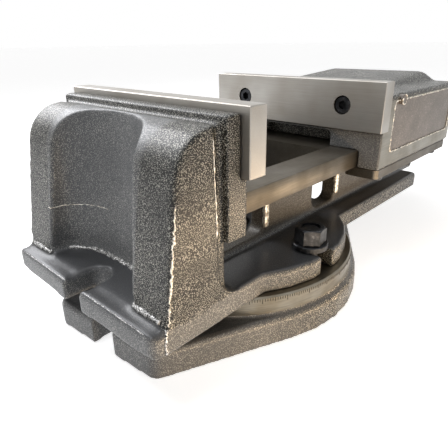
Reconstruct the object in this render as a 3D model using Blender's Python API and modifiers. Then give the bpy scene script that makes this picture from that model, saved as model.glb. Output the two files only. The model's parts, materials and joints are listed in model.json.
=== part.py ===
"""Machine vise with lock-down jaw on a graduated swivel base.

Origin on the swivel axis at the underside of the swivel base, +Z up.
The fixed jaw is towards -X, the moving jaw and its crank towards +X.
Each node is one object in the collection "machine_vise".
"""
import math

import bmesh
import bpy
from mathutils import Matrix, Vector

MM = 0.001

# General fits
fit_gap = 0.3 * MM
overrun = 6 * MM
bury = 3 * MM
weld_distance = 0.001 * MM
sharp_angle = math.radians(32)
level_angle = math.radians(0.5)

# Heights of the main levels
base_thickness = 18 * MM
ring_height = 13 * MM
body_seat = base_thickness + ring_height
flange_thickness = 12.8 * MM
flange_top = body_seat + flange_thickness
jaw_plate_height = 35.7 * MM
rail_top = 93.2 * MM
plate_lift_above_rails = 14.6 * MM
plate_bottom = rail_top + plate_lift_above_rails
plate_top = plate_bottom + jaw_plate_height

# Jaws
jaw_plate_overhang = 0.5 * MM
jaw_plate_thickness = 12.5 * MM
fixed_face = -58.5 * MM
rest_opening = 132.3 * MM
moving_face = fixed_face + rest_opening
plate_chamfer = 0.5 * MM

# Swivel base
base_angle = math.radians(5)
base_radius = 97.4 * MM
base_edge_radius = 4 * MM
ear_reach = 124.5 * MM
ear_taper = math.radians(28)
ear_corner_radius = 9 * MM
ear_slot_width = 18.5 * MM
ear_slot_depth = 31 * MM
ring_radius = 92.7 * MM
ring_chamfer = 1 * MM
bolt_circle_radius = 73 * MM
neck_width = 13 * MM
neck_depth = 9 * MM
head_slot_width = 23 * MM
head_slot_height = 9 * MM
bolt_entry_radius = 14.5 * MM
relief_inner_radius = 27 * MM
relief_outer_radius = 57 * MM
relief_depth = 10 * MM
keyway_width = 16 * MM
keyway_depth = 4 * MM
pivot_radius = 15 * MM
pivot_seat_depth = 22 * MM
pivot_chamfer = 1 * MM

# Clamp bolts
bolt_radius = 6 * MM
bolt_head_radial = 21 * MM
bolt_head_along = 18 * MM
bolt_head_height = 8.4 * MM
bolt_end = -1 * MM
bolt_tip_chamfer = 1 * MM
washer_radius = 12 * MM
washer_thickness = 4 * MM
nut_width = 18 * MM
nut_height = 10.4 * MM
nut_turn = math.radians(38.7)
nut_crown_angle = math.radians(30)
nut_crown_inset = 0.5 * MM

# Body foot and flange
foot_front = -131.7 * MM
foot_bow = 2 * MM
foot_side_inset = 1.3 * MM
foot_corner_radius = 5 * MM
foot_slot_width = 17 * MM
foot_slot_depth = 24 * MM
lug_edge = 15 * MM
lug_slot_width = 14 * MM
lug_slot_play = 0.5 * MM
rear_flange_reach = 17.7 * MM
rear_flange_end = 221 * MM
rear_corner_radius = 5 * MM
flange_edge_radius = 2.5 * MM

# Fixed jaw
column_flare = 0.8 * MM
column_draft = 3 * MM
column_setback = 6.8 * MM
brow_rise = 80.5 * MM
brow_lean = 14.4 * MM
shoulder_radius = 25.5 * MM
shoulder_drop = 7.8 * MM
shoulder_flat = 0.5 * MM
neck_length = 5.2 * MM
column_edge_radius = 6 * MM
neck_step = 2 * MM
pad_depth = 9.5 * MM
pad_side_inset = 5.5 * MM
pad_drop = 3.5 * MM
pad_below_rail = 4.8 * MM
pad_edge_radius = 2 * MM
ledge_reach = 5 * MM
cove_radius = 16 * MM

# Scoop in the front of the fixed jaw
scoop_floor_rise = 1.5 * MM
scoop_foot_inset = 2.7 * MM
scoop_foot_depth = 31 * MM
scoop_foot_leg = 30 * MM
scoop_lean = 17 * MM
scoop_top_depth = 25 * MM
scoop_top_leg = 32 * MM
scoop_foot_power = 3.4
scoop_top_power = 2.1
scoop_steps = 22
scoop_rings = 6

# Bed
bed_length = 308.5 * MM
channel_inset = 1 * MM
rail_inner = 39 * MM
rail_width = 23.2 * MM
rail_thickness = 12.9 * MM
rail_bottom = rail_top - rail_thickness
rail_chamfer = 0.6 * MM
wall_step = 9 * MM
wall_thickness = 12.5 * MM
step_depth = 9.2 * MM
channel_floor_drop = 1.8 * MM
channel_headroom = 0.8 * MM
wall_cove_radius = 5 * MM
floor_opening_front = 88 * MM
floor_opening_rear = 205 * MM
window_sill_rise = 4.7 * MM
window_head_drop = 5.8 * MM
window_radius = 7 * MM
front_window_start = -66 * MM
front_window_end = -10 * MM
middle_window_start = 50 * MM
middle_window_end = 84 * MM

# Moving jaw
jaw_front_gap = 3 * MM
jaw_length = 155 * MM
skirt_thickness = 16.9 * MM
deck_drop = 10 * MM
jaw_edge_radius = 3 * MM
hump_front_from_face = 20 * MM
hump_half_top = 48 * MM
hump_half_bottom = 65 * MM
hump_rear_drop = 1.7 * MM
hump_front_drop = 9 * MM
rail_play = 0.4 * MM
tunnel_inset = 0.6 * MM
tunnel_height = 12 * MM
tunnel_radius = 4 * MM
tunnel_depth = 19 * MM
cavity_headroom = 8 * MM
cavity_rear_wall = 17 * MM
web_thickness = 20 * MM
panel_depth = 1 * MM
panel_front_inset = 17 * MM
panel_rear_inset = 8 * MM
panel_bottom_rise = 10.9 * MM
panel_top_drop = 1.6 * MM
panel_radius = 3 * MM
plug_radius = 3.7 * MM
plug_length = 6 * MM
plug_stand = 1.6 * MM
plug_from_face = 32 * MM
plug_drop = 14.3 * MM

# Keeper plates
keeper_thickness = 7.4 * MM
keeper_wall_gap = 9.5 * MM
keeper_inset = 0.7 * MM
keeper_rear_inset = 3 * MM
keeper_radius = 4 * MM
keeper_edge_inset = 0.2 * MM
keeper_screw_edge = 8.5 * MM
keeper_screw_inset = 18 * MM

# Cap screws: radius of shank and head, head height, length, socket width and depth
plate_screw_half_spacing = 47.4 * MM
plate_screw_drop = 17.8 * MM
plate_screw_radius = 4 * MM
plate_screw_head_radius = 6.5 * MM
plate_screw_head_height = 8 * MM
plate_screw_length = 18 * MM
plate_screw_socket = 6 * MM
plate_screw_sink = 8.6 * MM
plate_screw_rim = 0.5 * MM
keeper_screw_radius = 3 * MM
keeper_screw_head_radius = 5 * MM
keeper_screw_head_height = 4 * MM
keeper_screw_length = 20 * MM
keeper_screw_socket = 4 * MM
bracket_screw_radius = 4 * MM
bracket_screw_head_radius = 6.5 * MM
bracket_screw_head_height = 8 * MM
bracket_screw_length = 42 * MM
bracket_screw_socket = 6 * MM
socket_depth_share = 0.5
head_chamfer_share = 0.12

# Lock-down nut and its segment
screw_height = 62 * MM
nut_lead = 11.8 * MM
nut_length = 85 * MM
nut_flange_side_play = 0.5 * MM
nut_top_drop = 0.2 * MM
nut_flange_play = 0.6 * MM
nut_body_play = 0.7 * MM
nut_boss_radius = 15.8 * MM
nut_boss_setback = 6 * MM
hook_rise = 3 * MM
hook_half = 26 * MM
segment_radius = 10 * MM
segment_lift = 19.8 * MM
segment_behind_web = 5.2 * MM
segment_above_web = 4.7 * MM
thrust_screw_drop = 9 * MM
thrust_screw_radius = 5 * MM
thrust_screw_socket = 5 * MM

# Lead screw, its bracket and bearing
thread_radius = 11 * MM
thread_play = 0.4 * MM
screw_front = -60 * MM
screw_tip_chamfer = 1.5 * MM
shoulder_width = 7 * MM
shoulder_ring_radius = 17 * MM
journal_radius = 10 * MM
journal_play = 0.35 * MM
race_thickness = 2 * MM
ball_ring_thickness = 2.1 * MM
race_radius = 17 * MM
bracket_thickness = 22 * MM
bracket_overhang = 1.5 * MM
bracket_bottom_rise = 1.2 * MM
bracket_top_drop = 1.4 * MM
bracket_edge_radius = 4 * MM
bracket_rim_radius = 2 * MM
bracket_screw_edge = 7.8 * MM
bracket_screw_foot_edge = 8 * MM
bracket_screw_top_edge = 8.8 * MM
collar_width = 13 * MM
collar_radius = 17 * MM
collar_chamfer = 1 * MM
set_screw_radius = 3 * MM
hex_width = 19 * MM
hex_length = 25 * MM

# Crank and grip
crank_gap = 1.5 * MM
hub_length = 28 * MM
hub_radius = 17.5 * MM
hub_socket_play = 0.35 * MM
crank_radius = 110 * MM
arm_thickness = 10 * MM
arm_half_at_hub = 13 * MM
arm_half_at_grip = 9 * MM
arm_edge_radius = 2 * MM
hub_edge_radius = 1 * MM
boss_radius = 12 * MM
boss_length = 16 * MM
spindle_radius = 5 * MM
spindle_play = 0.35 * MM
spindle_head_radius = 8 * MM
spindle_head_height = 5 * MM
grip_length = 82 * MM
grip_radius_shares = ((0.0, 0.70), (0.03, 0.80), (0.2, 0.86), (0.45, 1.0),
                      (0.7, 0.98), (0.9, 0.84), (0.97, 0.78), (1.0, 0.66))
grip_radius = 14 * MM

# Places that follow from the sizes
rail_outer = rail_inner + rail_width
wall_inner = rail_inner - wall_step
wall_outer = wall_inner + wall_thickness
jaw_half_width = rail_outer + rail_play + skirt_thickness
jaw_width = 2 * (jaw_half_width + jaw_plate_overhang)
tunnel_half = rail_inner - tunnel_inset
keeper_inner = wall_outer + keeper_wall_gap
nut_flange_half = rail_inner - nut_flange_side_play
nut_body_half = wall_inner - nut_body_play
bracket_half_width = wall_outer + bracket_overhang
rear_flange_half_width = wall_outer + rear_flange_reach
lug_radius = bolt_circle_radius + lug_edge
lug_slot_inner = bolt_circle_radius - lug_slot_width / 2 - lug_slot_play
fixed_back = fixed_face - jaw_plate_thickness
moving_back = moving_face + jaw_plate_thickness
pad_face = fixed_back - fit_gap
pad_back = pad_face - pad_depth
pad_half_width = jaw_width / 2 - pad_side_inset
foot_half_width = pad_half_width - foot_side_inset
pad_bottom = rail_bottom - pad_below_rail
shoulder_top = plate_top - shoulder_drop
column_rear_x = pad_back - neck_length
shoulder_start_x = column_rear_x - shoulder_flat
column_half_bottom = foot_half_width + column_flare
column_half_top = column_half_bottom - column_draft
neck_half_width = column_half_top - neck_step
column_foot_x = foot_front + column_setback
scoop_floor = flange_top + scoop_floor_rise
scoop_foot_centre = foot_front + scoop_foot_inset
scoop_top_centre = scoop_foot_centre + scoop_lean
scoop_foot_half = column_half_bottom - scoop_foot_leg
scoop_top_half = column_half_top - scoop_top_leg
channel_front = column_rear_x + channel_inset
bed_end = fixed_face + bed_length
window_sill = flange_top + window_sill_rise
window_head = rail_bottom - window_head_drop
window_spans = ((front_window_start, front_window_end), (middle_window_start, middle_window_end))
ledge_face = pad_face + ledge_reach
casting_front = moving_face + jaw_front_gap
jaw_rear = casting_front + jaw_length - jaw_front_gap
deck = plate_top - deck_drop
skirt_bottom = rail_bottom
rail_roof = rail_top + fit_gap
seat_behind_plate = moving_back + fit_gap
nut_front = moving_face - nut_lead + jaw_front_gap
nut_rear = nut_front + nut_length
web_rear = casting_front + tunnel_depth + web_thickness
panel_bottom = skirt_bottom + panel_bottom_rise
keeper_screw_half = jaw_half_width - keeper_screw_edge
segment_height = rail_top + segment_lift
segment_x = web_rear + segment_behind_web
web_top = segment_height - segment_above_web
hook_plane_sum = segment_x + segment_height
hook_top = segment_height + hook_rise
cavity_roof = hook_top + cavity_headroom
thrust_screw_height = segment_height - thrust_screw_drop
bracket_bottom = flange_top + bracket_bottom_rise
bracket_top = rail_top - bracket_top_drop
bracket_screw_half = bracket_half_width - bracket_screw_edge
bracket_screw_low = bracket_bottom + bracket_screw_foot_edge
bracket_screw_high = bracket_top - bracket_screw_top_edge
cavity_rear = jaw_rear - cavity_rear_wall
bracket_front = bed_end + fit_gap
bracket_rear = bracket_front + bracket_thickness
stack_rear = bracket_front - fit_gap
rear_race_front = stack_rear - race_thickness
ball_ring_front = rear_race_front - fit_gap - ball_ring_thickness
front_race_front = ball_ring_front - fit_gap - race_thickness
shoulder_rear = front_race_front - fit_gap
shoulder_front = shoulder_rear - shoulder_width
collar_front = bracket_rear + fit_gap
collar_rear = collar_front + collar_width
hub_front = collar_rear + crank_gap
hub_rear = hub_front + hub_length
arm_rear = hub_rear - bury
arm_front = arm_rear - arm_thickness
boss_front = arm_rear + bury - boss_length
boss_rear = arm_rear + bury
grip_front = boss_rear + fit_gap
grip_rear = grip_front + grip_length
head_slot_top = body_seat - fit_gap - neck_depth
head_slot_floor = head_slot_top - head_slot_height
plate_screw_level = plate_top - plate_screw_drop
washer_seat = flange_top + fit_gap
nut_seat = washer_seat + washer_thickness + fit_gap

# Counts
round_sides = 32
large_sides = 72
small_sides = 16
arc_step = math.radians(12)


def clear_scene():
    """Remove every object of the scene."""
    for thing in list(bpy.data.objects):
        bpy.data.objects.remove(thing, do_unlink=True)


def new_collection(name):
    """Make a collection in the scene."""
    made = bpy.data.collections.new(name)
    bpy.context.scene.collection.children.link(made)
    return made


clear_scene()
parts = new_collection("machine_vise")
cutters = new_collection("cutters")


def srgb(code):
    """Turn a hex colour into linear values with alpha."""
    values = [int(code[place:place + 2], 16) / 255 for place in (0, 2, 4)]
    linear = [v / 12.92 if v <= 0.04045 else ((v + 0.055) / 1.055) ** 2.4 for v in values]
    return (*linear, 1)


def finish(name, code, roughness, metallic):
    """Make a plain surface with a colour, roughness and metallic value."""
    made = bpy.data.materials.new(name)
    made.use_nodes = True
    surface = made.node_tree.nodes["Principled BSDF"]
    surface.inputs["Base Color"].default_value = srgb(code)
    surface.inputs["Roughness"].default_value = roughness
    surface.inputs["Metallic"].default_value = metallic
    return made


FINISHES = {
    "enamel": ("5c5d5b", 0.45, 0.2),
    "ground_steel": ("b9b4ac", 0.3, 1.0),
    "machined_iron": ("8f877c", 0.4, 0.9),
    "black_oxide": ("23252a", 0.4, 0.7),
    "bright_steel": ("a7a7a5", 0.3, 1.0),
    "bronze": ("8a6a3c", 0.4, 0.9),
    "black_grip": ("1c1c1e", 0.5, 0.0),
}


def kept_finish(name):
    """Return the finish of that name, made on first use."""
    return bpy.data.materials.get(name) or finish(name, *FINISHES[name])


def as_mesh(shape, name="shape"):
    """Turn a bmesh with outward faces into mesh data."""
    bmesh.ops.recalc_face_normals(shape, faces=shape.faces)
    mesh = bpy.data.meshes.new(name)
    shape.to_mesh(mesh)
    shape.free()
    return mesh


def shade(mesh):
    """Shade smooth but for the sharp edges."""
    mesh.shade_smooth()
    mesh.set_sharp_from_angle(angle=sharp_angle)


def piece(name, mesh, finish_name, parent=None):
    """Make a node of the part."""
    mesh.name = name
    shade(mesh)
    if not mesh.materials:
        mesh.materials.append(kept_finish(finish_name))
    made = bpy.data.objects.new(name, mesh)
    parts.objects.link(made)
    if parent:
        made.parent = parent
        made.matrix_parent_inverse = parent.matrix_world.inverted()
    return made


def tool(name, mesh):
    """Make a shape that cuts or joins, drawn as wire."""
    made = bpy.data.objects.new(name, mesh)
    cutters.objects.link(made)
    made.hide_render = True
    made.display_type = "WIRE"
    return made


def base_tool(name, mesh):
    """Make a shape for the swivel base, turned with it."""
    made = tool(name, mesh)
    made.parent = base_frame
    return made


def combine(target, other, operation):
    """Add an exact Boolean of the other shape."""
    step = target.modifiers.new(other.name, "BOOLEAN")
    step.operation = operation
    step.solver = "EXACT"
    step.object = other


def cut(target, *others):
    """Cut the other shapes out of the target."""
    for other in others:
        combine(target, other, "DIFFERENCE")


def join(target, *others):
    """Unite the other shapes with the target."""
    for other in others:
        combine(target, other, "UNION")


def frozen(thing):
    """Return the evaluated mesh of an object and remove the object."""
    graph = bpy.context.evaluated_depsgraph_get()
    mesh = bpy.data.meshes.new_from_object(thing.evaluated_get(graph))
    bpy.data.objects.remove(thing, do_unlink=True)
    return mesh


def block(low, high):
    """A box between two corners."""
    shape = bmesh.new()
    bmesh.ops.create_cube(shape, size=1)
    low, high = Vector(low), Vector(high)
    bmesh.ops.scale(shape, vec=high - low, verts=shape.verts)
    bmesh.ops.translate(shape, vec=(low + high) / 2, verts=shape.verts)
    return as_mesh(shape)


def rod(radius, start, end, sides=round_sides, end_radius=None, turn=0):
    """A cylinder, cone or prism from one point to another."""
    start, end = Vector(start), Vector(end)
    along = end - start
    shape = bmesh.new()
    end_radius = radius if end_radius is None else end_radius
    bmesh.ops.create_cone(shape, cap_ends=True, segments=sides, radius1=radius, radius2=end_radius,
                          depth=along.length)
    way = along.to_track_quat("Z", "Y").to_matrix().to_4x4()
    place = Matrix.Translation((start + end) / 2) @ way @ Matrix.Rotation(turn, 4, "Z")
    bmesh.ops.transform(shape, matrix=place, verts=shape.verts)
    return as_mesh(shape)


def rounded(corners):
    """Points of a closed outline whose corners (x, y, radius) become arcs."""
    points = []
    count = len(corners)
    for place, (x, y, radius) in enumerate(corners):
        here = Vector((x, y))
        before = Vector(corners[place - 1][:2]) - here
        after = Vector(corners[(place + 1) % count][:2]) - here
        if radius == 0:
            points.append(here)
            continue
        opening = before.angle(after)
        reach = radius / math.tan(opening / 2)
        inward = (before.normalized() + after.normalized()).normalized()
        middle = here + inward * radius / math.sin(opening / 2)
        first = here + before.normalized() * reach - middle
        last = here + after.normalized() * reach - middle
        sweep = first.angle_signed(last)
        steps = max(2, math.ceil(abs(sweep) / arc_step))
        for step in range(steps + 1):
            turn = -sweep * step / steps
            points.append(middle + Matrix.Rotation(turn, 2) @ first)
    return points


def arc(centre_x, centre_y, radius, start, end):
    """Points along an arc from one angle to another."""
    steps = max(2, math.ceil(abs(end - start) / arc_step))
    turns = [start + (end - start) * step / steps for step in range(steps + 1)]
    return [(centre_x + radius * math.cos(turn), centre_y + radius * math.sin(turn)) for turn in turns]


# Axes of an outline's own x, y and z in the part's frame
PLAN = Matrix(((1, 0, 0), (0, 1, 0), (0, 0, 1)))
SIDE = Matrix(((1, 0, 0), (0, 0, -1), (0, 1, 0)))
FRONT = Matrix(((0, 0, 1), (1, 0, 0), (0, 1, 0)))


def flat(points, low, high, axes=PLAN):
    """A flat outline, filled and given its thickness from low to high along the outline's own z."""
    curve = bpy.data.curves.new("outline", "CURVE")
    curve.dimensions = "2D"
    curve.fill_mode = "BOTH"
    curve.extrude = (high - low) / 2
    line = curve.splines.new("POLY")
    line.points.add(len(points) - 1)
    for point, place in zip(line.points, points):
        point.co = (place[0], place[1], 0, 1)
    line.use_cyclic_u = True
    thing = bpy.data.objects.new("outline", curve)
    cutters.objects.link(thing)
    mesh = frozen(thing)
    shape = bmesh.new()
    shape.from_mesh(mesh)
    bmesh.ops.remove_doubles(shape, verts=shape.verts, dist=weld_distance)
    bmesh.ops.dissolve_limit(shape, angle_limit=level_angle, edges=shape.edges)
    middle = axes @ Vector((0, 0, (low + high) / 2))
    bmesh.ops.transform(shape, matrix=Matrix.Translation(middle) @ axes.to_4x4(), verts=shape.verts)
    bpy.data.meshes.remove(mesh)
    bpy.data.curves.remove(curve)
    return as_mesh(shape)


def turned(name, profile, closed=False, sides=round_sides):
    """A turned shape about its own Z from a profile of (radius, height), top to bottom on its outer side.

    A profile point on the axis stands for a flat end, which is one filled face.
    """
    shape = bmesh.new()
    points = [shape.verts.new((radius, 0, height)) for radius, height in profile if radius > 0]
    for first, last in zip(points, points[1:]):
        shape.edges.new((first, last))
    if closed:
        shape.edges.new((points[-1], points[0]))
    mesh = bpy.data.meshes.new(name)
    shape.to_mesh(mesh)
    shape.free()
    made = bpy.data.objects.new(name, mesh)
    cutters.objects.link(made)
    spin = made.modifiers.new("turn", "SCREW")
    spin.axis = "Z"
    spin.angle = math.tau
    spin.steps = sides
    spin.render_steps = sides
    spin.use_merge_vertices = True
    spin.merge_threshold = weld_distance
    mesh = frozen(made)
    shape = bmesh.new()
    shape.from_mesh(mesh)
    open_edges = [edge for edge in shape.edges if edge.is_boundary]
    if open_edges:
        bmesh.ops.edgeloop_fill(shape, edges=open_edges)
    shape.to_mesh(mesh)
    shape.free()
    return mesh


def moved(mesh, matrix):
    """Move a mesh and return it."""
    mesh.transform(matrix)
    return mesh


def along_x(mesh, start):
    """Lay a shape made about Z along +X, its zero at the start."""
    turn = Matrix.Rotation(math.pi / 2, 4, "Y")
    return moved(mesh, Matrix.Translation((start, 0, screw_height)) @ turn)


def soften(thing, width, segments, where=None):
    """Round edges: all sharp ones, or those whose ends both meet a rule."""
    step = thing.modifiers.new("rounding", "BEVEL")
    step.width = width
    step.segments = segments
    step.use_clamp_overlap = True
    if where is None:
        step.limit_method = "ANGLE"
        step.angle_limit = sharp_angle
        return
    step.limit_method = "WEIGHT"
    mesh = thing.data
    weights = mesh.attributes.new("bevel_weight_edge", "FLOAT", "EDGE")
    for edge in mesh.edges:
        ends = [mesh.vertices[corner].co for corner in edge.vertices]
        weights.data[edge.index].value = 1.0 if all(where(end) for end in ends) else 0.0


def softened(mesh, width, segments, where=None):
    """Return the mesh with its edges rounded."""
    thing = bpy.data.objects.new("rounded", mesh)
    cutters.objects.link(thing)
    soften(thing, width, segments, where)
    return frozen(thing)


def mirrored(mesh):
    """A copy of the mesh on the other side of the middle plane."""
    shape = bmesh.new()
    shape.from_mesh(mesh)
    bmesh.ops.scale(shape, vec=(1, -1, 1), verts=shape.verts)
    return as_mesh(shape)


def body_empty(name, place, parent=None):
    """An empty on a joint's axis that carries the pieces of one body."""
    made = bpy.data.objects.new(name, None)
    parts.objects.link(made)
    made.location = place
    if parent:
        made.parent = parent
        made.location = Vector(place) - parent.matrix_world.translation
    bpy.context.view_layer.update()
    return made


# Bodies, each on its joint's axis
swivel_axis = body_empty("swivel_axis", (0, 0, 0))
jaw_way = body_empty("jaw_way", (moving_face, 0, rail_top), swivel_axis)
screw_axis = body_empty("screw_axis", (bracket_rear, 0, screw_height), swivel_axis)
grip_axis = body_empty("grip_axis", (grip_front, crank_radius, screw_height), screw_axis)
base_frame = bpy.data.objects.new("base_frame", None)
parts.objects.link(base_frame)


def base_outline():
    """Disc with two tapered ears, the ears' sides tangent to the disc."""
    touch = math.pi / 2 - ear_taper
    touch_x = base_radius * math.cos(touch)
    touch_y = base_radius * math.sin(touch)
    end_half = touch_y - (ear_reach - touch_x) * math.tan(ear_taper)
    ear = [(ear_reach, -end_half, ear_corner_radius), (ear_reach, end_half, ear_corner_radius)]
    right = rounded([(touch_x, -touch_y, 0)] + ear + [(touch_x, touch_y, 0)])
    upper = [Vector(point) for point in arc(0, 0, base_radius, touch, math.pi - touch)][1:-1]
    half = right + upper
    return half + [-point for point in half]


def slot_outline(centre_x, width, mouth_x):
    """A slot along X with a round inner end, centred on Y = 0."""
    half = width / 2
    way = math.copysign(1, mouth_x - centre_x)
    bend = arc(centre_x, 0, half, math.pi / 2, math.pi * 3 / 2)
    if way < 0:
        bend = arc(centre_x, 0, half, -math.pi / 2, math.pi / 2)
        return [(mouth_x, -half)] + bend + [(mouth_x, half)]
    return [(mouth_x, half)] + bend + [(mouth_x, -half)]


def make_swivel_base():
    """Cast base with a machined ring, an annular T-slot, ears for table bolts and a relieved underside."""
    plate = flat(base_outline(), 0, base_thickness)
    base = piece("swivel_base", plate, "enamel", base_frame)
    soften(base, base_edge_radius, 3, lambda place: place.z > base_thickness / 2)
    ring_top = body_seat - fit_gap
    ring_profile = [(0, ring_top), (ring_radius - ring_chamfer, ring_top),
                    (ring_radius, ring_top - ring_chamfer),
                    (ring_radius, base_thickness - bury), (0, base_thickness - bury)]
    join(base, base_tool("ring", turned("ring", ring_profile, sides=large_sides)))
    neck_in = bolt_circle_radius - neck_width / 2
    neck_out = bolt_circle_radius + neck_width / 2
    head_in = bolt_circle_radius - head_slot_width / 2
    head_out = bolt_circle_radius + head_slot_width / 2
    tee = [(neck_out, ring_top + overrun), (neck_out, head_slot_top), (head_out, head_slot_top),
           (head_out, head_slot_floor), (head_in, head_slot_floor), (head_in, head_slot_top),
           (neck_in, head_slot_top), (neck_in, ring_top + overrun)]
    cut(base, base_tool("tee_slot", turned("tee_slot", tee, closed=True, sides=large_sides)))
    entry = rod(bolt_entry_radius, (bolt_circle_radius, 0, head_slot_floor - plate_chamfer),
                (bolt_circle_radius, 0, ring_top + overrun), small_sides)
    cut(base, base_tool("bolt_entry", entry))
    relief = [(relief_outer_radius, relief_depth), (relief_outer_radius, -overrun),
              (relief_inner_radius, -overrun), (relief_inner_radius, relief_depth)]
    cut(base, base_tool("underside_relief", turned("relief", relief, closed=True, sides=round_sides)))
    bore_floor = body_seat - pivot_seat_depth - fit_gap
    bore = rod(pivot_radius + fit_gap, (0, 0, bore_floor), (0, 0, ring_top + overrun))
    cut(base, base_tool("pivot_bore", bore))
    for way in (-1, 1):
        inner = way * (ear_reach - ear_slot_depth + ear_slot_width / 2)
        slot = flat(slot_outline(inner, ear_slot_width, way * (ear_reach + overrun)), -overrun, body_seat)
        cut(base, base_tool("ear_slot", slot))
        keyway_end = way * (relief_inner_radius + relief_outer_radius) / 2
        low = (min(keyway_end, way * (ear_reach + overrun)), -keyway_width / 2, -overrun)
        high = (max(keyway_end, way * (ear_reach + overrun)), keyway_width / 2, keyway_depth)
        cut(base, base_tool("keyway", block(low, high)))
    return base


def make_pivot_pin():
    """Pin pressed into the base, on which the body turns."""
    bottom = body_seat - pivot_seat_depth
    top = flange_top - channel_floor_drop - fit_gap
    profile = [(0, top), (pivot_radius - pivot_chamfer, top), (pivot_radius, top - pivot_chamfer),
               (pivot_radius, bottom + pivot_chamfer), (pivot_radius - pivot_chamfer, bottom), (0, bottom)]
    return piece("pivot_pin", turned("pivot_pin", profile), "bright_steel", base_frame)


def foot_outline():
    """Foot, round lugs and rear flange of the body in plan."""
    meet_x = math.sqrt(lug_radius ** 2 - foot_half_width ** 2)
    meet_turn = math.atan2(foot_half_width, -meet_x)
    rear_x = math.sqrt(lug_radius ** 2 - rear_flange_half_width ** 2)
    rear_turn = math.atan2(rear_flange_half_width, rear_x)
    front = rounded([(-meet_x, foot_half_width, 0), (foot_front, foot_half_width, foot_corner_radius),
                     (foot_front - foot_bow, 0, 0), (foot_front, -foot_half_width, foot_corner_radius),
                     (-meet_x, -foot_half_width, 0)])
    lower = arc(0, 0, lug_radius, -meet_turn, -rear_turn)[1:]
    rear = rounded([(rear_x, -rear_flange_half_width, 0),
                    (rear_flange_end, -rear_flange_half_width, rear_corner_radius),
                    (rear_flange_end, rear_flange_half_width, rear_corner_radius),
                    (rear_x, rear_flange_half_width, 0)])[1:]
    upper = arc(0, 0, lug_radius, rear_turn, meet_turn)[1:-1]
    return [tuple(point) for point in front] + lower + [tuple(point) for point in rear] + upper


def drafted(mesh):
    """Taper a shape's sides from the full width at the seat to the narrower width at the shoulders."""
    span = shoulder_top - body_seat
    for corner in mesh.vertices:
        share = (corner.co.z - body_seat) / span
        half = column_half_bottom + (column_half_top - column_half_bottom) * share
        corner.co.y *= half / column_half_bottom
    return mesh


def column_profile():
    """Side view of the fixed jaw's columns: sloped front, round shoulder, flat top."""
    slope = math.atan2(brow_lean, brow_rise)
    centre_x = shoulder_start_x
    centre_z = shoulder_top - shoulder_radius
    bend = arc(centre_x, centre_z, shoulder_radius, math.pi - slope, math.pi / 2)
    return [(column_rear_x, body_seat), (column_foot_x, body_seat)] + bend + [(column_rear_x, shoulder_top)]


def loft(rings):
    """A closed shape through rings of equally many points."""
    shape = bmesh.new()
    rows = [[shape.verts.new(point) for point in ring] for ring in rings]
    count = len(rows[0])
    for low, high in zip(rows, rows[1:]):
        for place in range(count):
            following = (place + 1) % count
            shape.faces.new((low[place], low[following], high[following], high[place]))
    shape.faces.new(rows[0])
    shape.faces.new(rows[-1])
    bmesh.ops.triangulate(shape, faces=[face for face in shape.faces if len(face.verts) > 4])
    return as_mesh(shape)


def scoop_ring(height, share):
    """One level of the scoop: a blunt arch that grows rounder and leans back towards the top."""
    centre = scoop_foot_centre + (scoop_top_centre - scoop_foot_centre) * share
    depth = scoop_foot_depth + (scoop_top_depth - scoop_foot_depth) * share
    half = scoop_foot_half + (scoop_top_half - scoop_foot_half) * share
    power = scoop_foot_power + (scoop_top_power - scoop_foot_power) * share
    ring = [(foot_front - overrun, -half - bury, height)]
    for step in range(scoop_steps + 1):
        turn = math.pi / 2 * (2 * step / scoop_steps - 1)
        deep = depth * abs(math.cos(turn)) ** (2 / power)
        wide = half * math.copysign(abs(math.sin(turn)) ** (2 / power), turn)
        ring.append((centre + deep, wide, height))
    return ring + [(foot_front - overrun, half + bury, height)]


def scoop_shape():
    """The hollow in the front of the fixed jaw."""
    rings = []
    for level in range(scoop_rings + 1):
        share = level / scoop_rings
        rings.append(scoop_ring(scoop_floor + (shoulder_top - scoop_floor) * share, share))
    above = 1 + overrun / (shoulder_top - scoop_floor)
    rings.append(scoop_ring(shoulder_top + overrun, above))
    return loft(rings)


def cove(corner_x, corner_y, radius, way_x, way_y):
    """Points of a hollow fillet in a corner, its legs running the two given ways."""
    centre_x = corner_x + way_x * radius
    centre_y = corner_y + way_y * radius
    start = math.atan2(-way_y, 0)
    end = math.atan2(0, -way_x)
    if end - start > math.pi:
        start += math.tau
    if start - end > math.pi:
        end += math.tau
    bend = arc(centre_x, centre_y, radius, start, end)
    outer = (corner_x - way_x * bury, corner_y - way_y * bury)
    return [(corner_x + way_x * radius, outer[1])] + bend + [(outer[0], corner_y + way_y * radius), outer]


def channel_shapes():
    """The bed's channel: wide between the rails, narrower and deeper between the walls."""
    step = rail_top - step_depth
    wide = block((channel_front, -rail_inner, step),
                 (bed_end + overrun, rail_inner, rail_top + channel_headroom))
    deep = block((channel_front + channel_headroom, -wall_inner, flange_top - channel_floor_drop),
                 (bed_end + overrun, wall_inner, step + bury))
    return tool("wide_channel", wide), tool("deep_channel", deep)


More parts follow.
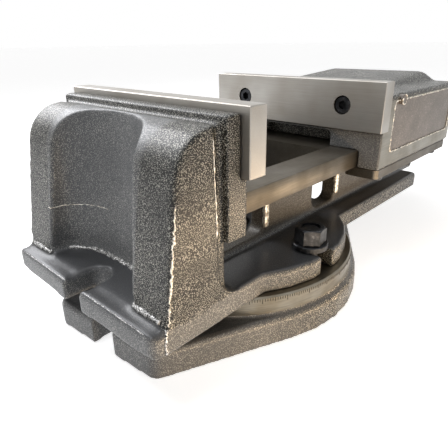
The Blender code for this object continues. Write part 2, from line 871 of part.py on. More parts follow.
def make_vise_body():
    """Casting of foot, lugs, bed walls, rails and fixed jaw."""
    body = piece("vise_body", flat(foot_outline(), body_seat, flange_top), "enamel", swivel_axis)
    soften(body, flange_edge_radius, 2, lambda place: place.z > flange_top - bury)
    columns = drafted(flat(column_profile(), -column_half_bottom, column_half_bottom, SIDE))

    def on_side(place):
        return abs(place.y) > neck_half_width and place.z > flange_top

    join(body, tool("columns", softened(columns, column_edge_radius, 4, on_side)))
    neck = block((column_rear_x - bury, -neck_half_width, flange_top - bury),
                 (pad_back + bury, neck_half_width, shoulder_top - plate_chamfer))
    join(body, tool("neck", neck))
    pad_top = plate_top - pad_drop
    pad = flat([(pad_back, pad_bottom), (pad_back, pad_top), (pad_face, pad_top),
                (pad_face, plate_bottom - fit_gap), (ledge_face, plate_bottom - fit_gap),
                (ledge_face, pad_bottom)],
               -pad_half_width, pad_half_width, SIDE)

    def on_pad_back(place):
        return place.x < pad_back + fit_gap and place.z > pad_bottom + bury

    join(body, tool("pad", softened(pad, pad_edge_radius, 2, on_pad_back)))
    foot_cove = flat(cove(column_rear_x, flange_top, cove_radius, 1, 1),
                     -foot_half_width, foot_half_width, SIDE)
    join(body, tool("foot_cove", foot_cove))
    for way in (-1, 1):
        sides = sorted((way * wall_outer, way * (wall_inner - bury)))
        wall = block((column_rear_x - bury, sides[0], flange_top - bury),
                     (bed_end, sides[1], rail_top - step_depth + bury))
        join(body, tool("wall", wall))
        sides = sorted((way * rail_outer, way * (rail_inner - bury)))
        rail = block((pad_back + bury, sides[0], rail_bottom), (bed_end, sides[1], rail_top))
        join(body, tool("rail", softened(rail, rail_chamfer, 1)))
        wall_cove = flat(cove(way * wall_outer, flange_top, wall_cove_radius, way, 1),
                         column_rear_x + cove_radius, rear_flange_end - rear_corner_radius, FRONT)
        join(body, tool("wall_cove", wall_cove))
    cut(body, *channel_shapes())
    opening = block((floor_opening_front, -wall_inner + bury, body_seat - overrun),
                    (floor_opening_rear, wall_inner - bury, flange_top + overrun))
    cut(body, tool("floor_opening", opening))
    for start, end in window_spans:
        corners = [(start, window_sill, window_radius), (end, window_sill, window_radius),
                   (end, window_head, window_radius), (start, window_head, window_radius)]
        cut(body, tool("window", flat(rounded(corners), -wall_outer - overrun, wall_outer + overrun, SIDE)))
    cut(body, tool("scoop", scoop_shape()))
    slot_centre = foot_front + foot_slot_depth - foot_slot_width / 2
    foot_slot = flat(slot_outline(slot_centre, foot_slot_width, foot_front - overrun - foot_bow),
                     body_seat - overrun, flange_top + overrun)
    cut(body, tool("foot_slot", foot_slot))
    lug_slot = slot_outline(lug_slot_inner + lug_slot_width / 2, lug_slot_width, lug_radius + overrun)
    for way in (-1, 1):
        turn = Matrix.Rotation(way * math.pi / 2, 4, "Z")
        slot = moved(flat(lug_slot, body_seat - overrun, flange_top + overrun), turn)
        cut(body, tool("lug_slot", slot))
    bore = rod(pivot_radius + fit_gap, (0, 0, body_seat - overrun), (0, 0, flange_top + overrun))
    cut(body, tool("body_bore", bore))
    for way in (-1, 1):
        side = way * plate_screw_half_spacing
        tip = fixed_face - plate_screw_sink - plate_screw_length - bury
        hole = rod(plate_screw_radius + fit_gap, (fixed_back + overrun, side, plate_screw_level),
                   (tip, side, plate_screw_level), small_sides)
        cut(body, tool("plate_screw_hole", hole))
        for level in (bracket_screw_low, bracket_screw_high):
            side = way * bracket_screw_half
            end = bracket_rear + fit_gap - bracket_screw_length - bury
            hole = rod(bracket_screw_radius + fit_gap, (end, side, level), (bed_end + overrun, side, level),
                       small_sides)
            cut(body, tool("bracket_screw_hole", hole))
    return body


def jaw_plate(name, back, face, parent):
    """Ground jaw plate with counterbored screw holes."""
    low = (min(back, face), -jaw_width / 2, plate_bottom)
    high = (max(back, face), jaw_width / 2, plate_top)
    plate = piece(name, softened(block(low, high), plate_chamfer, 1), "ground_steel", parent)
    way = math.copysign(1, back - face)
    for side in (-plate_screw_half_spacing, plate_screw_half_spacing):
        start = (face - way * overrun, side, plate_screw_level)
        sink = rod(plate_screw_head_radius + plate_screw_rim, start,
                   (face + way * (plate_screw_sink + fit_gap), side, plate_screw_level), small_sides)
        hole = rod(plate_screw_radius + fit_gap, start,
                   (back + way * overrun, side, plate_screw_level), small_sides)
        cut(plate, tool("counterbore", sink), tool("plate_hole", hole))
    return plate


def cap_screw_mesh(radius, head_radius, head_height, length, socket):
    """Cap screw about Z: head from zero down, shank below, hexagon socket from the top."""
    rim = head_radius * head_chamfer_share
    profile = [(0, 0), (head_radius - rim, 0), (head_radius, -rim), (head_radius, -head_height),
               (radius, -head_height), (radius, -head_height - length + rim),
               (radius - rim, -head_height - length), (0, -head_height - length)]
    screw = bpy.data.objects.new("cap_screw", turned("cap_screw", profile, sides=small_sides))
    cutters.objects.link(screw)
    key = rod(socket / math.sqrt(3), (0, 0, -head_height * socket_depth_share), (0, 0, overrun), 6)
    wrench = tool("socket", key)
    cut(screw, wrench)
    mesh = frozen(screw)
    bpy.data.objects.remove(wrench, do_unlink=True)
    return mesh


def place_screws(name, mesh, places, out, parent):
    """Place copies of one screw, heads facing out; each is its own node."""
    mesh.materials.clear()
    mesh.materials.append(kept_finish("black_oxide"))
    shade(mesh)
    for number, place in enumerate(places, 1):
        made = bpy.data.objects.new(f"{name}_{number}", mesh)
        parts.objects.link(made)
        made.parent = parent
        made.location = Vector(place) - parent.matrix_world.translation
        made.rotation_euler = Vector(out).to_track_quat("Z", "Y").to_euler()


def make_jaw_plates():
    """The two jaw plates and their screws."""
    jaw_plate("fixed_jaw_plate", fixed_back, fixed_face, swivel_axis)
    jaw_plate("moving_jaw_plate", moving_back, moving_face, jaw_way)
    mesh = cap_screw_mesh(plate_screw_radius, plate_screw_head_radius, plate_screw_head_height,
                          plate_screw_length, plate_screw_socket)
    sunk = plate_screw_sink - plate_screw_head_height
    sides = (-plate_screw_half_spacing, plate_screw_half_spacing)
    fixed = [(fixed_face - sunk, side, plate_screw_level) for side in sides]
    moving = [(moving_face + sunk, side, plate_screw_level) for side in sides]
    place_screws("fixed_plate_screw", mesh, fixed, (1, 0, 0), swivel_axis)
    place_screws("moving_plate_screw", mesh.copy(), moving, (-1, 0, 0), jaw_way)


def make_clamps():
    """T-bolt, washer and nut on each side of the swivel."""
    for name, way in (("near", -1), ("far", 1)):
        middle = way * bolt_circle_radius
        head = block((-bolt_head_along / 2, middle - bolt_head_radial / 2, head_slot_floor + fit_gap),
                     (bolt_head_along / 2, middle + bolt_head_radial / 2,
                      head_slot_floor + fit_gap + bolt_head_height))
        bolt = piece(f"clamp_bolt_{name}", softened(head, plate_chamfer, 1), "black_oxide", swivel_axis)
        top = nut_seat + nut_height + bolt_end
        shank = rod(bolt_radius, (0, middle, head_slot_floor + bury), (0, middle, top), small_sides)
        shank = softened(shank, bolt_tip_chamfer, 1, lambda place: place.z > nut_seat)
        join(bolt, tool("shank", shank))
        hole = bolt_radius + fit_gap
        ring = [(hole, washer_thickness), (washer_radius - plate_chamfer, washer_thickness),
                (washer_radius, washer_thickness - plate_chamfer), (washer_radius, plate_chamfer),
                (washer_radius - plate_chamfer, 0), (hole, 0)]
        washer = turned("washer", ring, closed=True, sides=round_sides)
        piece(f"clamp_washer_{name}", moved(washer, Matrix.Translation((0, middle, washer_seat))),
              "black_oxide", swivel_axis)
        hexagon = rod(nut_width / math.sqrt(3), (0, middle, nut_seat),
                      (0, middle, nut_seat + nut_height + fit_gap), 6, turn=nut_turn)
        nut = piece(f"clamp_nut_{name}", hexagon, "black_oxide", swivel_axis)
        crown_start = nut_width / 2 - nut_crown_inset
        crown_fall = (nut_width - crown_start) * math.tan(nut_crown_angle)
        crown = [(0, nut_height), (crown_start, nut_height), (nut_width, nut_height - crown_fall),
                 (nut_width, -overrun), (0, -overrun)]
        crown = moved(turned("crown", crown, sides=round_sides), Matrix.Translation((0, middle, nut_seat)))
        combine(nut, tool("nut_crown", crown), "INTERSECT")
        bore = rod(hole, (0, middle, nut_seat - overrun),
                   (0, middle, nut_seat + nut_height + overrun), small_sides)
        cut(nut, tool("nut_bore", bore))


def jaw_hump():
    """Raised middle of the moving jaw's top: a trapezoid that climbs towards the rear."""
    rear_top = plate_top - hump_rear_drop
    front_top = plate_top - hump_front_drop
    start = seat_behind_plate + hump_front_from_face
    outline = [(-hump_half_bottom, deck - bury), (-hump_half_top, rear_top), (hump_half_top, rear_top),
               (hump_half_bottom, deck - bury)]
    mesh = flat(outline, start, jaw_rear - jaw_edge_radius, FRONT)
    for corner in mesh.vertices:
        if corner.co.z > deck and corner.co.x < start + bury:
            corner.co.z = front_top
            corner.co.x += bury
    return softened(mesh, jaw_edge_radius, 2, lambda place: place.z > deck)


def make_moving_jaw():
    """Moving jaw casting that straddles the rails."""
    outline = [(casting_front, skirt_bottom), (casting_front, plate_bottom - fit_gap),
               (seat_behind_plate, plate_bottom - fit_gap), (seat_behind_plate, deck), (jaw_rear, deck),
               (jaw_rear, skirt_bottom)]
    mesh = flat(outline, -jaw_half_width, jaw_half_width, SIDE)

    def rear_or_top_rim(place):
        return place.z > deck - bury or place.x > jaw_rear - bury

    jaw = piece("moving_jaw", mesh, "enamel", jaw_way)
    soften(jaw, jaw_edge_radius, 3, rear_or_top_rim)
    join(jaw, tool("hump", jaw_hump()))
    side = rail_outer + rail_play
    straddle = block((casting_front - overrun, -side, skirt_bottom - overrun),
                     (jaw_rear + overrun, side, rail_roof))
    cut(jaw, tool("straddle", straddle))
    tunnel_top = rail_roof + tunnel_height
    tunnel_corners = [(-tunnel_half, rail_roof - bury, 0), (tunnel_half, rail_roof - bury, 0),
                      (tunnel_half, tunnel_top, tunnel_radius), (-tunnel_half, tunnel_top, tunnel_radius)]
    tunnel = flat(rounded(tunnel_corners), casting_front - overrun, casting_front + tunnel_depth, FRONT)
    cut(jaw, tool("tunnel", tunnel))
    web_front = casting_front + tunnel_depth
    cavity = [(web_rear, rail_roof - bury), (web_rear, web_top), (web_front + bury, web_top),
              (web_front + bury, cavity_roof), (cavity_rear, cavity_roof), (cavity_rear, rail_roof - bury)]
    cut(jaw, tool("cavity", flat(cavity, -tunnel_half, tunnel_half, SIDE)))
    seat_radius = segment_radius + fit_gap
    centre = Vector((segment_x, 0, segment_height))
    shape = bmesh.new()
    bmesh.ops.create_uvsphere(shape, u_segments=small_sides, v_segments=small_sides // 2, radius=seat_radius)
    bmesh.ops.translate(shape, vec=centre, verts=shape.verts)
    cut(jaw, tool("segment_seat", as_mesh(shape)))
    panel = [(casting_front + panel_front_inset, panel_bottom, panel_radius),
             (jaw_rear - panel_rear_inset, panel_bottom, panel_radius),
             (jaw_rear - panel_rear_inset, deck - panel_top_drop - jaw_edge_radius, panel_radius),
             (casting_front + panel_front_inset, deck - panel_top_drop - jaw_edge_radius, panel_radius)]
    for way in (-1, 1):
        near, far = sorted((-way * (jaw_half_width - panel_depth), -way * (jaw_half_width + overrun)))
        cut(jaw, tool("side_panel", flat(rounded(panel), near, far, SIDE)))
        plug_x = moving_face + plug_from_face
        plug_seat = way * (jaw_half_width + plug_stand - plug_length - fit_gap)
        hole = rod(plug_radius + fit_gap, (plug_x, way * (jaw_half_width + overrun), plate_top - plug_drop),
                   (plug_x, plug_seat, plate_top - plug_drop), small_sides)
        cut(jaw, tool("plug_hole", hole))
        screw_side = way * plate_screw_half_spacing
        tip = moving_face + plate_screw_sink + plate_screw_length + bury
        hole = rod(plate_screw_radius + fit_gap, (moving_back - overrun, screw_side, plate_screw_level),
                   (tip, screw_side, plate_screw_level), small_sides)
        cut(jaw, tool("jaw_plate_screw_hole", hole))
        for x in keeper_screw_places():
            low = (x, way * keeper_screw_half, skirt_bottom - overrun)
            high = (x, way * keeper_screw_half, skirt_bottom + keeper_screw_length - keeper_thickness + bury)
            cut(jaw, tool("keeper_screw_hole", rod(keeper_screw_radius + fit_gap, low, high, small_sides)))
    hole = rod(thrust_screw_radius + fit_gap, (cavity_rear - overrun, 0, thrust_screw_height),
               (jaw_rear + overrun, 0, thrust_screw_height), small_sides)
    cut(jaw, tool("thrust_screw_hole", hole))
    return jaw


def keeper_screw_places():
    """Where the keeper screws stand along the jaw."""
    first = casting_front + keeper_screw_inset
    last = jaw_rear - keeper_screw_inset
    return (first, (first + last) / 2, last)


def make_keepers():
    """Plates under the rails that hold the jaw down, with their screws."""
    top = skirt_bottom - fit_gap
    front = casting_front + keeper_inset
    rear = jaw_rear - keeper_rear_inset
    edge = jaw_half_width - keeper_edge_inset
    mesh = cap_screw_mesh(keeper_screw_radius, keeper_screw_head_radius, keeper_screw_head_height,
                          keeper_screw_length, keeper_screw_socket)
    for name, way in (("near", -1), ("far", 1)):
        corners = [(front, keeper_inner, keeper_radius), (rear, keeper_inner, keeper_radius),
                   (rear, edge, keeper_radius), (front, edge, keeper_radius)]
        plate = flat(rounded(corners), top - keeper_thickness, top)
        if way < 0:
            plate = mirrored(plate)
        keeper = piece(f"keeper_plate_{name}", plate, "machined_iron", jaw_way)
        soften(keeper, plate_chamfer, 1)
        places = []
        for x in keeper_screw_places():
            side = way * keeper_screw_half
            hole = rod(keeper_screw_radius + fit_gap, (x, side, top - keeper_thickness - overrun),
                       (x, side, top + overrun), small_sides)
            cut(keeper, tool("keeper_hole", hole))
            places.append((x, side, top - keeper_thickness - fit_gap - keeper_screw_head_height))
        place_screws(f"keeper_screw_{name}", mesh.copy(), places, (0, 0, -1), jaw_way)


def make_plugs():
    """Round plugs in the sides of the moving jaw."""
    for name, way in (("near", -1), ("far", 1)):
        x = moving_face + plug_from_face
        outer = way * (jaw_half_width + plug_stand)
        inner = way * (jaw_half_width + plug_stand - plug_length)
        mesh = rod(plug_radius, (x, inner, plate_top - plug_drop),
                   (x, outer, plate_top - plug_drop), small_sides)
        plug = piece(f"side_plug_{name}", mesh, "machined_iron", jaw_way)
        soften(plug, plate_chamfer, 2)


def make_lock_nut():
    """Nut on the lead screw, with a hook whose sloped face pulls the jaw forward and down."""
    top = rail_top - nut_top_drop
    flange_bottom = rail_top - step_depth + nut_flange_play
    flange = block((nut_front, -nut_flange_half, flange_bottom), (nut_rear, nut_flange_half, top))
    nut = piece("lock_nut", flange, "machined_iron", jaw_way)
    lower = block((nut_front, -nut_body_half, screw_height),
                  (nut_rear - bury, nut_body_half, flange_bottom + bury))
    boss = rod(nut_boss_radius, (nut_front + bury, 0, screw_height),
               (nut_rear - nut_boss_setback, 0, screw_height))
    slope_foot = hook_plane_sum + fit_gap - (top - bury)
    slope_head = hook_plane_sum + fit_gap - hook_top
    hook = flat([(slope_foot, top - bury), (slope_head, hook_top), (nut_rear + bury, hook_top),
                 (nut_rear + bury, top - bury)], -hook_half, hook_half, SIDE)
    join(nut, tool("nut_lower", lower), tool("nut_boss", boss), tool("hook", hook))
    bore = rod(thread_radius + thread_play, (nut_front - overrun, 0, screw_height),
               (nut_rear + overrun, 0, screw_height))
    cut(nut, tool("nut_thread", bore))
    return nut


def make_segment():
    """Half ball between the nut's hook and its seat in the jaw."""
    shape = bmesh.new()
    bmesh.ops.create_uvsphere(shape, u_segments=small_sides, v_segments=small_sides // 2,
                              radius=segment_radius)
    plane = Vector((1, 0, 1)).normalized()
    everything = shape.verts[:] + shape.edges[:] + shape.faces[:]
    cut_away = bmesh.ops.bisect_plane(shape, geom=everything, plane_co=(0, 0, 0), plane_no=plane,
                                      clear_outer=True)
    rim = [item for item in cut_away["geom_cut"] if isinstance(item, bmesh.types.BMEdge)]
    bmesh.ops.contextual_create(shape, geom=rim)
    bmesh.ops.translate(shape, vec=(segment_x, 0, segment_height), verts=shape.verts)
    return piece("lock_segment", as_mesh(shape), "bright_steel", jaw_way)


def make_thrust_screw():
    """Set screw through the jaw's rear wall that keeps the nut against its segment."""
    front = nut_rear + bury + fit_gap
    shank = rod(thrust_screw_radius, (front, 0, thrust_screw_height),
                (jaw_rear, 0, thrust_screw_height), small_sides)
    screw = piece("nut_set_screw", shank, "black_oxide", jaw_way)
    soften(screw, plate_chamfer, 1)
    key = rod(thrust_screw_socket / math.sqrt(3), (jaw_rear - thrust_screw_radius, 0, thrust_screw_height),
              (jaw_rear + overrun, 0, thrust_screw_height), 6)
    cut(screw, tool("set_screw_socket", key))


def make_lead_screw():
    """Lead screw with shoulder, journal and hexagon end."""
    length = collar_rear + crank_gap - screw_front
    shoulder_start = shoulder_front - screw_front
    shoulder_end = shoulder_rear - screw_front
    rim = screw_tip_chamfer
    profile = [(0, length), (journal_radius, length), (journal_radius, shoulder_end),
               (shoulder_ring_radius, shoulder_end), (shoulder_ring_radius, shoulder_start),
               (thread_radius, shoulder_start), (thread_radius, rim), (thread_radius - rim, 0), (0, 0)]
    mesh = along_x(turned("lead_screw", profile, sides=round_sides), screw_front)
    screw = piece("lead_screw", mesh, "bright_steel", screw_axis)
    hexagon = rod(hex_width / math.sqrt(3), (collar_rear + fit_gap, 0, screw_height),
                  (hub_front + hex_length, 0, screw_height), 6)
    join(screw, tool("hex_end", hexagon))


def ring_piece(name, inner, outer, start, end, finish_name, parent, rim=0):
    """A ring about the screw axis between two places."""
    width = end - start
    profile = [(inner, width), (outer - rim, width), (outer, width - rim),
               (outer, rim), (outer - rim, 0), (inner, 0)]
    if rim == 0:
        profile = [(inner, width), (outer, width), (outer, 0), (inner, 0)]
    mesh = along_x(turned(name, profile, closed=True, sides=round_sides), start)
    return piece(name, mesh, finish_name, parent)


def make_screw_support():
    """Bracket on the end of the bed, thrust bearing and retaining collar."""
    corners = [(-bracket_half_width, bracket_bottom, bracket_edge_radius),
               (bracket_half_width, bracket_bottom, bracket_edge_radius),
               (bracket_half_width, bracket_top, bracket_edge_radius),
               (-bracket_half_width, bracket_top, bracket_edge_radius)]
    bracket = piece("screw_bracket", flat(rounded(corners), bracket_front, bracket_rear, FRONT), "enamel",
                    swivel_axis)
    soften(bracket, bracket_rim_radius, 2, lambda place: place.x > bracket_rear - bury)
    bore = rod(journal_radius + journal_play, (bracket_front - overrun, 0, screw_height),
               (bracket_rear + overrun, 0, screw_height))
    cut(bracket, tool("journal_bore", bore))
    places = []
    for side in (-bracket_screw_half, bracket_screw_half):
        for level in (bracket_screw_low, bracket_screw_high):
            hole = rod(bracket_screw_radius + fit_gap, (bracket_front - overrun, side, level),
                       (bracket_rear + overrun, side, level), small_sides)
            cut(bracket, tool("bracket_hole", hole))
            places.append((bracket_rear + fit_gap + bracket_screw_head_height, side, level))
    mesh = cap_screw_mesh(bracket_screw_radius, bracket_screw_head_radius, bracket_screw_head_height,
                          bracket_screw_length, bracket_screw_socket)
    place_screws("bracket_screw", mesh, places, (1, 0, 0), swivel_axis)
    inner = journal_radius + journal_play
    front_race_rear = front_race_front + race_thickness
    ring_piece("thrust_race_rear", inner, race_radius, rear_race_front, stack_rear,
               "bright_steel", swivel_axis)
    ring_piece("thrust_ball_ring", inner, race_radius, ball_ring_front,
               ball_ring_front + ball_ring_thickness, "bronze", screw_axis)
    ring_piece("thrust_race_front", inner, race_radius, front_race_front, front_race_rear,
               "bright_steel", screw_axis)
    collar = ring_piece("screw_collar", journal_radius + fit_gap, collar_radius, collar_front, collar_rear,
                        "black_oxide", screw_axis, collar_chamfer)
    middle = (collar_front + collar_rear) / 2
    hole = rod(set_screw_radius + fit_gap, (middle, 0, screw_height + journal_radius / 2),
               (middle, 0, screw_height + collar_radius + overrun), small_sides)
    cut(collar, tool("collar_hole", hole))
    shank = rod(set_screw_radius, (middle, 0, screw_height + journal_radius + fit_gap),
                (middle, 0, screw_height + collar_radius - fit_gap), small_sides)
    screw = piece("collar_set_screw", shank, "black_oxide", screw_axis)
    key = rod(set_screw_radius / 2, (middle, 0, screw_height + collar_radius - set_screw_radius),
              (middle, 0, screw_height + collar_radius + overrun), 6)
    cut(screw, tool("collar_screw_socket", key))


def make_crank():
    """Crank with a hexagon socket, its arm along +Y at rest, and the grip on its spindle."""
    hub = rod(hub_radius, (hub_front, 0, screw_height), (hub_rear, 0, screw_height))
    crank = piece("crank_arm", softened(hub, hub_edge_radius, 2), "black_oxide", screw_axis)
    reach_turn = math.asin((arm_half_at_hub - arm_half_at_grip) / crank_radius)
    side_turn = math.pi / 2 - reach_turn
    ends = arc(0, screw_height, arm_half_at_hub, math.tau - side_turn, side_turn)
    tips = arc(crank_radius, screw_height, arm_half_at_grip, side_turn, -side_turn)
    arm = flat(ends + tips, arm_front, arm_rear, FRONT)
    boss = rod(boss_radius, (boss_front, crank_radius, screw_height), (boss_rear, crank_radius, screw_height))
    join(crank, tool("arm", softened(arm, arm_edge_radius, 2)))
    join(crank, tool("grip_boss", softened(boss, hub_edge_radius, 2)))
    socket = rod((hex_width / 2 + hub_socket_play) * 2 / math.sqrt(3), (hub_front - overrun, 0, screw_height),
                 (hub_front + hex_length + fit_gap, 0, screw_height), 6)
    thread = rod(spindle_radius + fit_gap, (boss_front - overrun, crank_radius, screw_height),
                 (boss_rear + overrun, crank_radius, screw_height), small_sides)
    cut(crank, tool("hub_socket", socket), tool("spindle_thread", thread))
    total = grip_rear + fit_gap + spindle_head_height - boss_front
    rim = plate_chamfer
    head_seat = total - spindle_head_height
    profile = [(0, total), (spindle_head_radius - rim, total), (spindle_head_radius, total - rim),
               (spindle_head_radius, head_seat), (spindle_radius, head_seat), (spindle_radius, 0), (0, 0)]
    spindle = along_x(turned("grip_spindle", profile, sides=small_sides), boss_front)
    spindle = moved(spindle, Matrix.Translation((0, crank_radius, 0)))
    piece("grip_spindle", spindle, "bright_steel", screw_axis)
    bore = spindle_radius + spindle_play
    outline = [(grip_radius * wide, grip_length * along) for along, wide in grip_radius_shares]
    profile = [(bore, grip_length)] + outline[::-1] + [(bore, 0)]
    grip = along_x(turned("handle_grip", profile, closed=True, sides=small_sides), grip_front)
    piece("handle_grip", moved(grip, Matrix.Translation((0, crank_radius, 0))), "black_grip", grip_axis)


make_swivel_base()
make_pivot_pin()
make_vise_body()
make_jaw_plates()
make_clamps()
make_moving_jaw()
make_keepers()
make_plugs()
make_lock_nut()
make_segment()
make_thrust_screw()
make_lead_screw()
make_screw_support()
make_crank()
base_frame.rotation_euler = (0, 0, base_angle)
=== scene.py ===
"""Looks of a machine vise on a graduated swivel base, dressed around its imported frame."""
import json
import math

import bmesh
import bpy
import numpy as np
from mathutils import Matrix, Vector
from mathutils.bvhtree import BVHTree


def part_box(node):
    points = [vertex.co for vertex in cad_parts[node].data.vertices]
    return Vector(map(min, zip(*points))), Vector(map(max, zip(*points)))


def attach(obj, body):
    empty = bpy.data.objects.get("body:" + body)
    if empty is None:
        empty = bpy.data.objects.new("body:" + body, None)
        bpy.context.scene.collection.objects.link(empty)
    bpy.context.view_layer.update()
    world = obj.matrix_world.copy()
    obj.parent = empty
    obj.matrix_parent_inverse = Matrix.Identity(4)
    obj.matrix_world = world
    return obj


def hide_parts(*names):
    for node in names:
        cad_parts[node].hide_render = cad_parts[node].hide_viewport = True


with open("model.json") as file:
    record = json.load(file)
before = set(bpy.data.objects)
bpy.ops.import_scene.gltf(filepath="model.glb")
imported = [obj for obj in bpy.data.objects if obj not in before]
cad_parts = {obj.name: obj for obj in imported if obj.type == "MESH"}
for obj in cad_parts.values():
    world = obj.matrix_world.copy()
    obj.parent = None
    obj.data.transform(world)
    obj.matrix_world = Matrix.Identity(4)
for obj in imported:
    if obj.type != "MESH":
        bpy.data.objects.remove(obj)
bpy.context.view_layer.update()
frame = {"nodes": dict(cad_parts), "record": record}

MM = 0.001

# Camera of the photograph
camera_place = Vector((-223.6, -207.2, 170.8)) * MM
camera_azimuth = math.radians(46.44)
camera_elevation = math.radians(23.29)
camera_roll = math.radians(0.82)
camera_lens = 34.19
sensor_width = 36
nearest_seen = 10 * MM

# Sizes of the frame that the dressing follows
fit_gap = 0.3 * MM
swivel_turn = math.radians(5)
base_thickness = 18 * MM
body_seat = 31 * MM
flange_top = 43.8 * MM
foot_front = -131.7 * MM
ring_radius = 92.7 * MM
ring_chamfer = 1 * MM
ring_step = 0.8 * MM
ring_foot = base_thickness + ring_step
neck_out = 79.5 * MM
rail_top = 93.2 * MM
rail_bottom = 80.3 * MM
rail_inner = 39 * MM
rail_outer = 62.2 * MM
rail_chamfer = 0.6 * MM
pad_back = -80.8 * MM
ledge_face = -66.3 * MM
column_rear = -86 * MM
window_sill = 48.5 * MM
front_window_end = -10 * MM
middle_window_end = 84 * MM
bed_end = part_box("vise_body")[1].x
jaw_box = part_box("moving_jaw")
jaw_side = 79.5 * MM
skirt_bottom = 80.3 * MM
panel_front = 93.8 * MM
panel_rear = 220.8 * MM
panel_bottom = 91.2 * MM
panel_top = 128.9 * MM
panel_radius = 3 * MM
plug_place = (105.8 * MM, 129.2 * MM)
plug_radius = 3.7 * MM
plug_out = 81.1 * MM
screw_level = 62 * MM
screw_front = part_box("lead_screw")[0].x

# Coves round the foot of the column, and the leaning face that the scoop is cut into
cove_front = -129.5 * MM
cove_rise = 8 * MM
scoop_foot = -129 * MM
scoop_lean = 17 * MM
scoop_height = 90 * MM
scoop_half = 46 * MM

# Painted light and painted shade on the castings: how much each covers, and where it ends
foot_dust = 0.42
foot_dust_fade = 60 * MM
scoop_dust = 0.42
plate_seat_dust = 0.36
wall_grease = 0.7
wall_out = 46 * MM
base_oil_and_shade = 0.8

# How the castings are worn round
cast_voxel = 1.2 * MM
cast_passes = 4
cove_passes = 25
smoothing_step = 0.5
crisp_share = 0.2
# Painted highlight on outward edges: how broadly the skin is smoothed to find them, and the height that
# counts as full
edge_highlight_passes = 12
full_edge_highlight = 0.5 * cast_voxel
kept_share = 0.35
flat_face_weight = 50

# Shared by several pieces: room at edges, how far a piece stands proud, welding, and degrees of a crease
edge_room = 1 * MM
proud = 0.12 * MM
weld_distance = 0.001 * MM
crease = 32

# Graduated ring
ring_sides = 180
ring_crease = 25
degree_line = 1.8 * MM
fifth_line = 2.6 * MM
tenth_line = 3.2 * MM
line_depth = 0.3 * MM
line_width = 0.4 * MM

# Lead screw's thread; the shares are of one lead
thread_radius = 11 * MM
thread_lead = 5 * MM
thread_depth = 2.4 * MM
root_half_share = 0.14
flank_share = 0.22
rows_per_lead = 8
thread_sides = 40
thread_crease = 40
screw_tip = 1 * MM
thread_past_jaw = 5 * MM

# Uneven ribs: the section, and how the width swells and the line wanders
rib_sides = 6
rib_flatness = 0.8
mean_swell = 0.8
least_swell = 0.1
most_swell = 1.8
swell_blur = (0.25, 0.5, 0.25)
wander_share = 0.7
flash_step = 0.9 * MM
edge_step = 0.8 * MM
joint_step = 0.6 * MM

# Where the ribs run on the bed's casting: levels, distances across and, round the scoop, degrees
corner_low = 46 * MM
foot_corner_low = 32 * MM
rear_flash_low = 80 * MM
joint_level = 76 * MM
joint_start = 14 * MM
foot_edge_inner = 9 * MM
foot_edge_outer = 66 * MM
bead_level = 46.8 * MM
bead_half_turn = 78
bead_turn_step = 2
column_bead_inner = 44 * MM
column_bead_outer = 68 * MM
rear_flash_inset = 0.6 * MM
jamb_rise = 4 * MM
jamb_inset = 1.3 * MM

# The rays that find the surface start clear of the casting, and those to the front corner lean with it
corner_ray_front = -165.4 * MM
corner_ray_side = -117.2 * MM
front_lean = 0.179
side_lean = 0.03
foot_ray_front = -168 * MM
side_ray_start = -100 * MM
joint_ray_start = -160 * MM
edge_ray = 20 * MM
bead_ray = 10 * MM
scoop_middle = -120 * MM

# Rims round the side panels and plugs
plug_arc_start = -200
plug_arc_step = 8
plug_arc_points = 36
panel_rim_height = 0.48 * MM
plug_rim_height = 0.5 * MM

# Studio, in metres and watts: each lamp's name, place, the point it is turned to, size, power and colour
world_light = 0.17
floor_glow = 0.78
floor_half = 20
floor_drop = 0.5 * MM
lamps = (
    ("top_softbox", (0.15, 0.35, 1.1), (0.05, 0, 0.07), (1.0, 0.8), 3.5, "ffffff"),
    ("near_softbox", (0.01, -0.215, 0.013), (0.01, 0, 0.02), (0.36, 0.022), 0.37, "ffdfb6"),
    ("front_lamp", (-0.35, 0.1, 0.9), (-0.13, 0, 0.06), (0.16, 0.16), 1.1, "f6f8ff"),
    ("back_softbox", (-0.1, 0.8, 0.7), (0, 0, 0.1), (0.6, 0.5), 7.0, "fafbff"),
)


def linear(code):
    """Turn an sRGB hex colour into linear values with alpha."""
    values = [int(code[place:place + 2], 16) / 255 for place in (0, 2, 4)]
    return (*[v / 12.92 if v <= 0.04045 else ((v + 0.055) / 1.055) ** 2.4 for v in values], 1)


def node(tree, kind, inputs=None, stops=(), **settings):
    """Add a node with its settings; an input takes a value, an output, or a node's first output."""
    made = tree.nodes.new(kind)
    for name, value in settings.items():
        setattr(made, name, value)
    for socket, value in (inputs or {}).items():
        if isinstance(value, bpy.types.Node):
            value = next(output for output in value.outputs if output.enabled)
        if isinstance(value, bpy.types.NodeSocket):
            tree.links.new(value, made.inputs[socket])
        else:
            made.inputs[socket].default_value = value
    for count, (place, code) in enumerate(stops):
        scale = made.color_ramp.elements
        element = scale[count] if count < len(scale) else scale.new(place)
        element.position = place
        element.color = linear(code)
    return made


def surface(name, **values):
    """A material with a Principled shader whose plain values are set on its own sockets."""
    made = bpy.data.materials.new(name)
    made.use_nodes = True
    tree = made.node_tree
    shader = tree.nodes["Principled BSDF"]
    for socket, value in values.items():
        shader.inputs[socket.replace("_", " ")].default_value = value
    place = node(tree, "ShaderNodeTexCoord").outputs["Object"]
    return made, tree, shader, place


def wire(tree, shader, **sources):
    """Link nodes to the shader's sockets."""
    for socket, source in sources.items():
        if isinstance(source, bpy.types.Node):
            source = next(output for output in source.outputs if output.enabled)
        tree.links.new(source, shader.inputs[socket.replace("_", " ")])


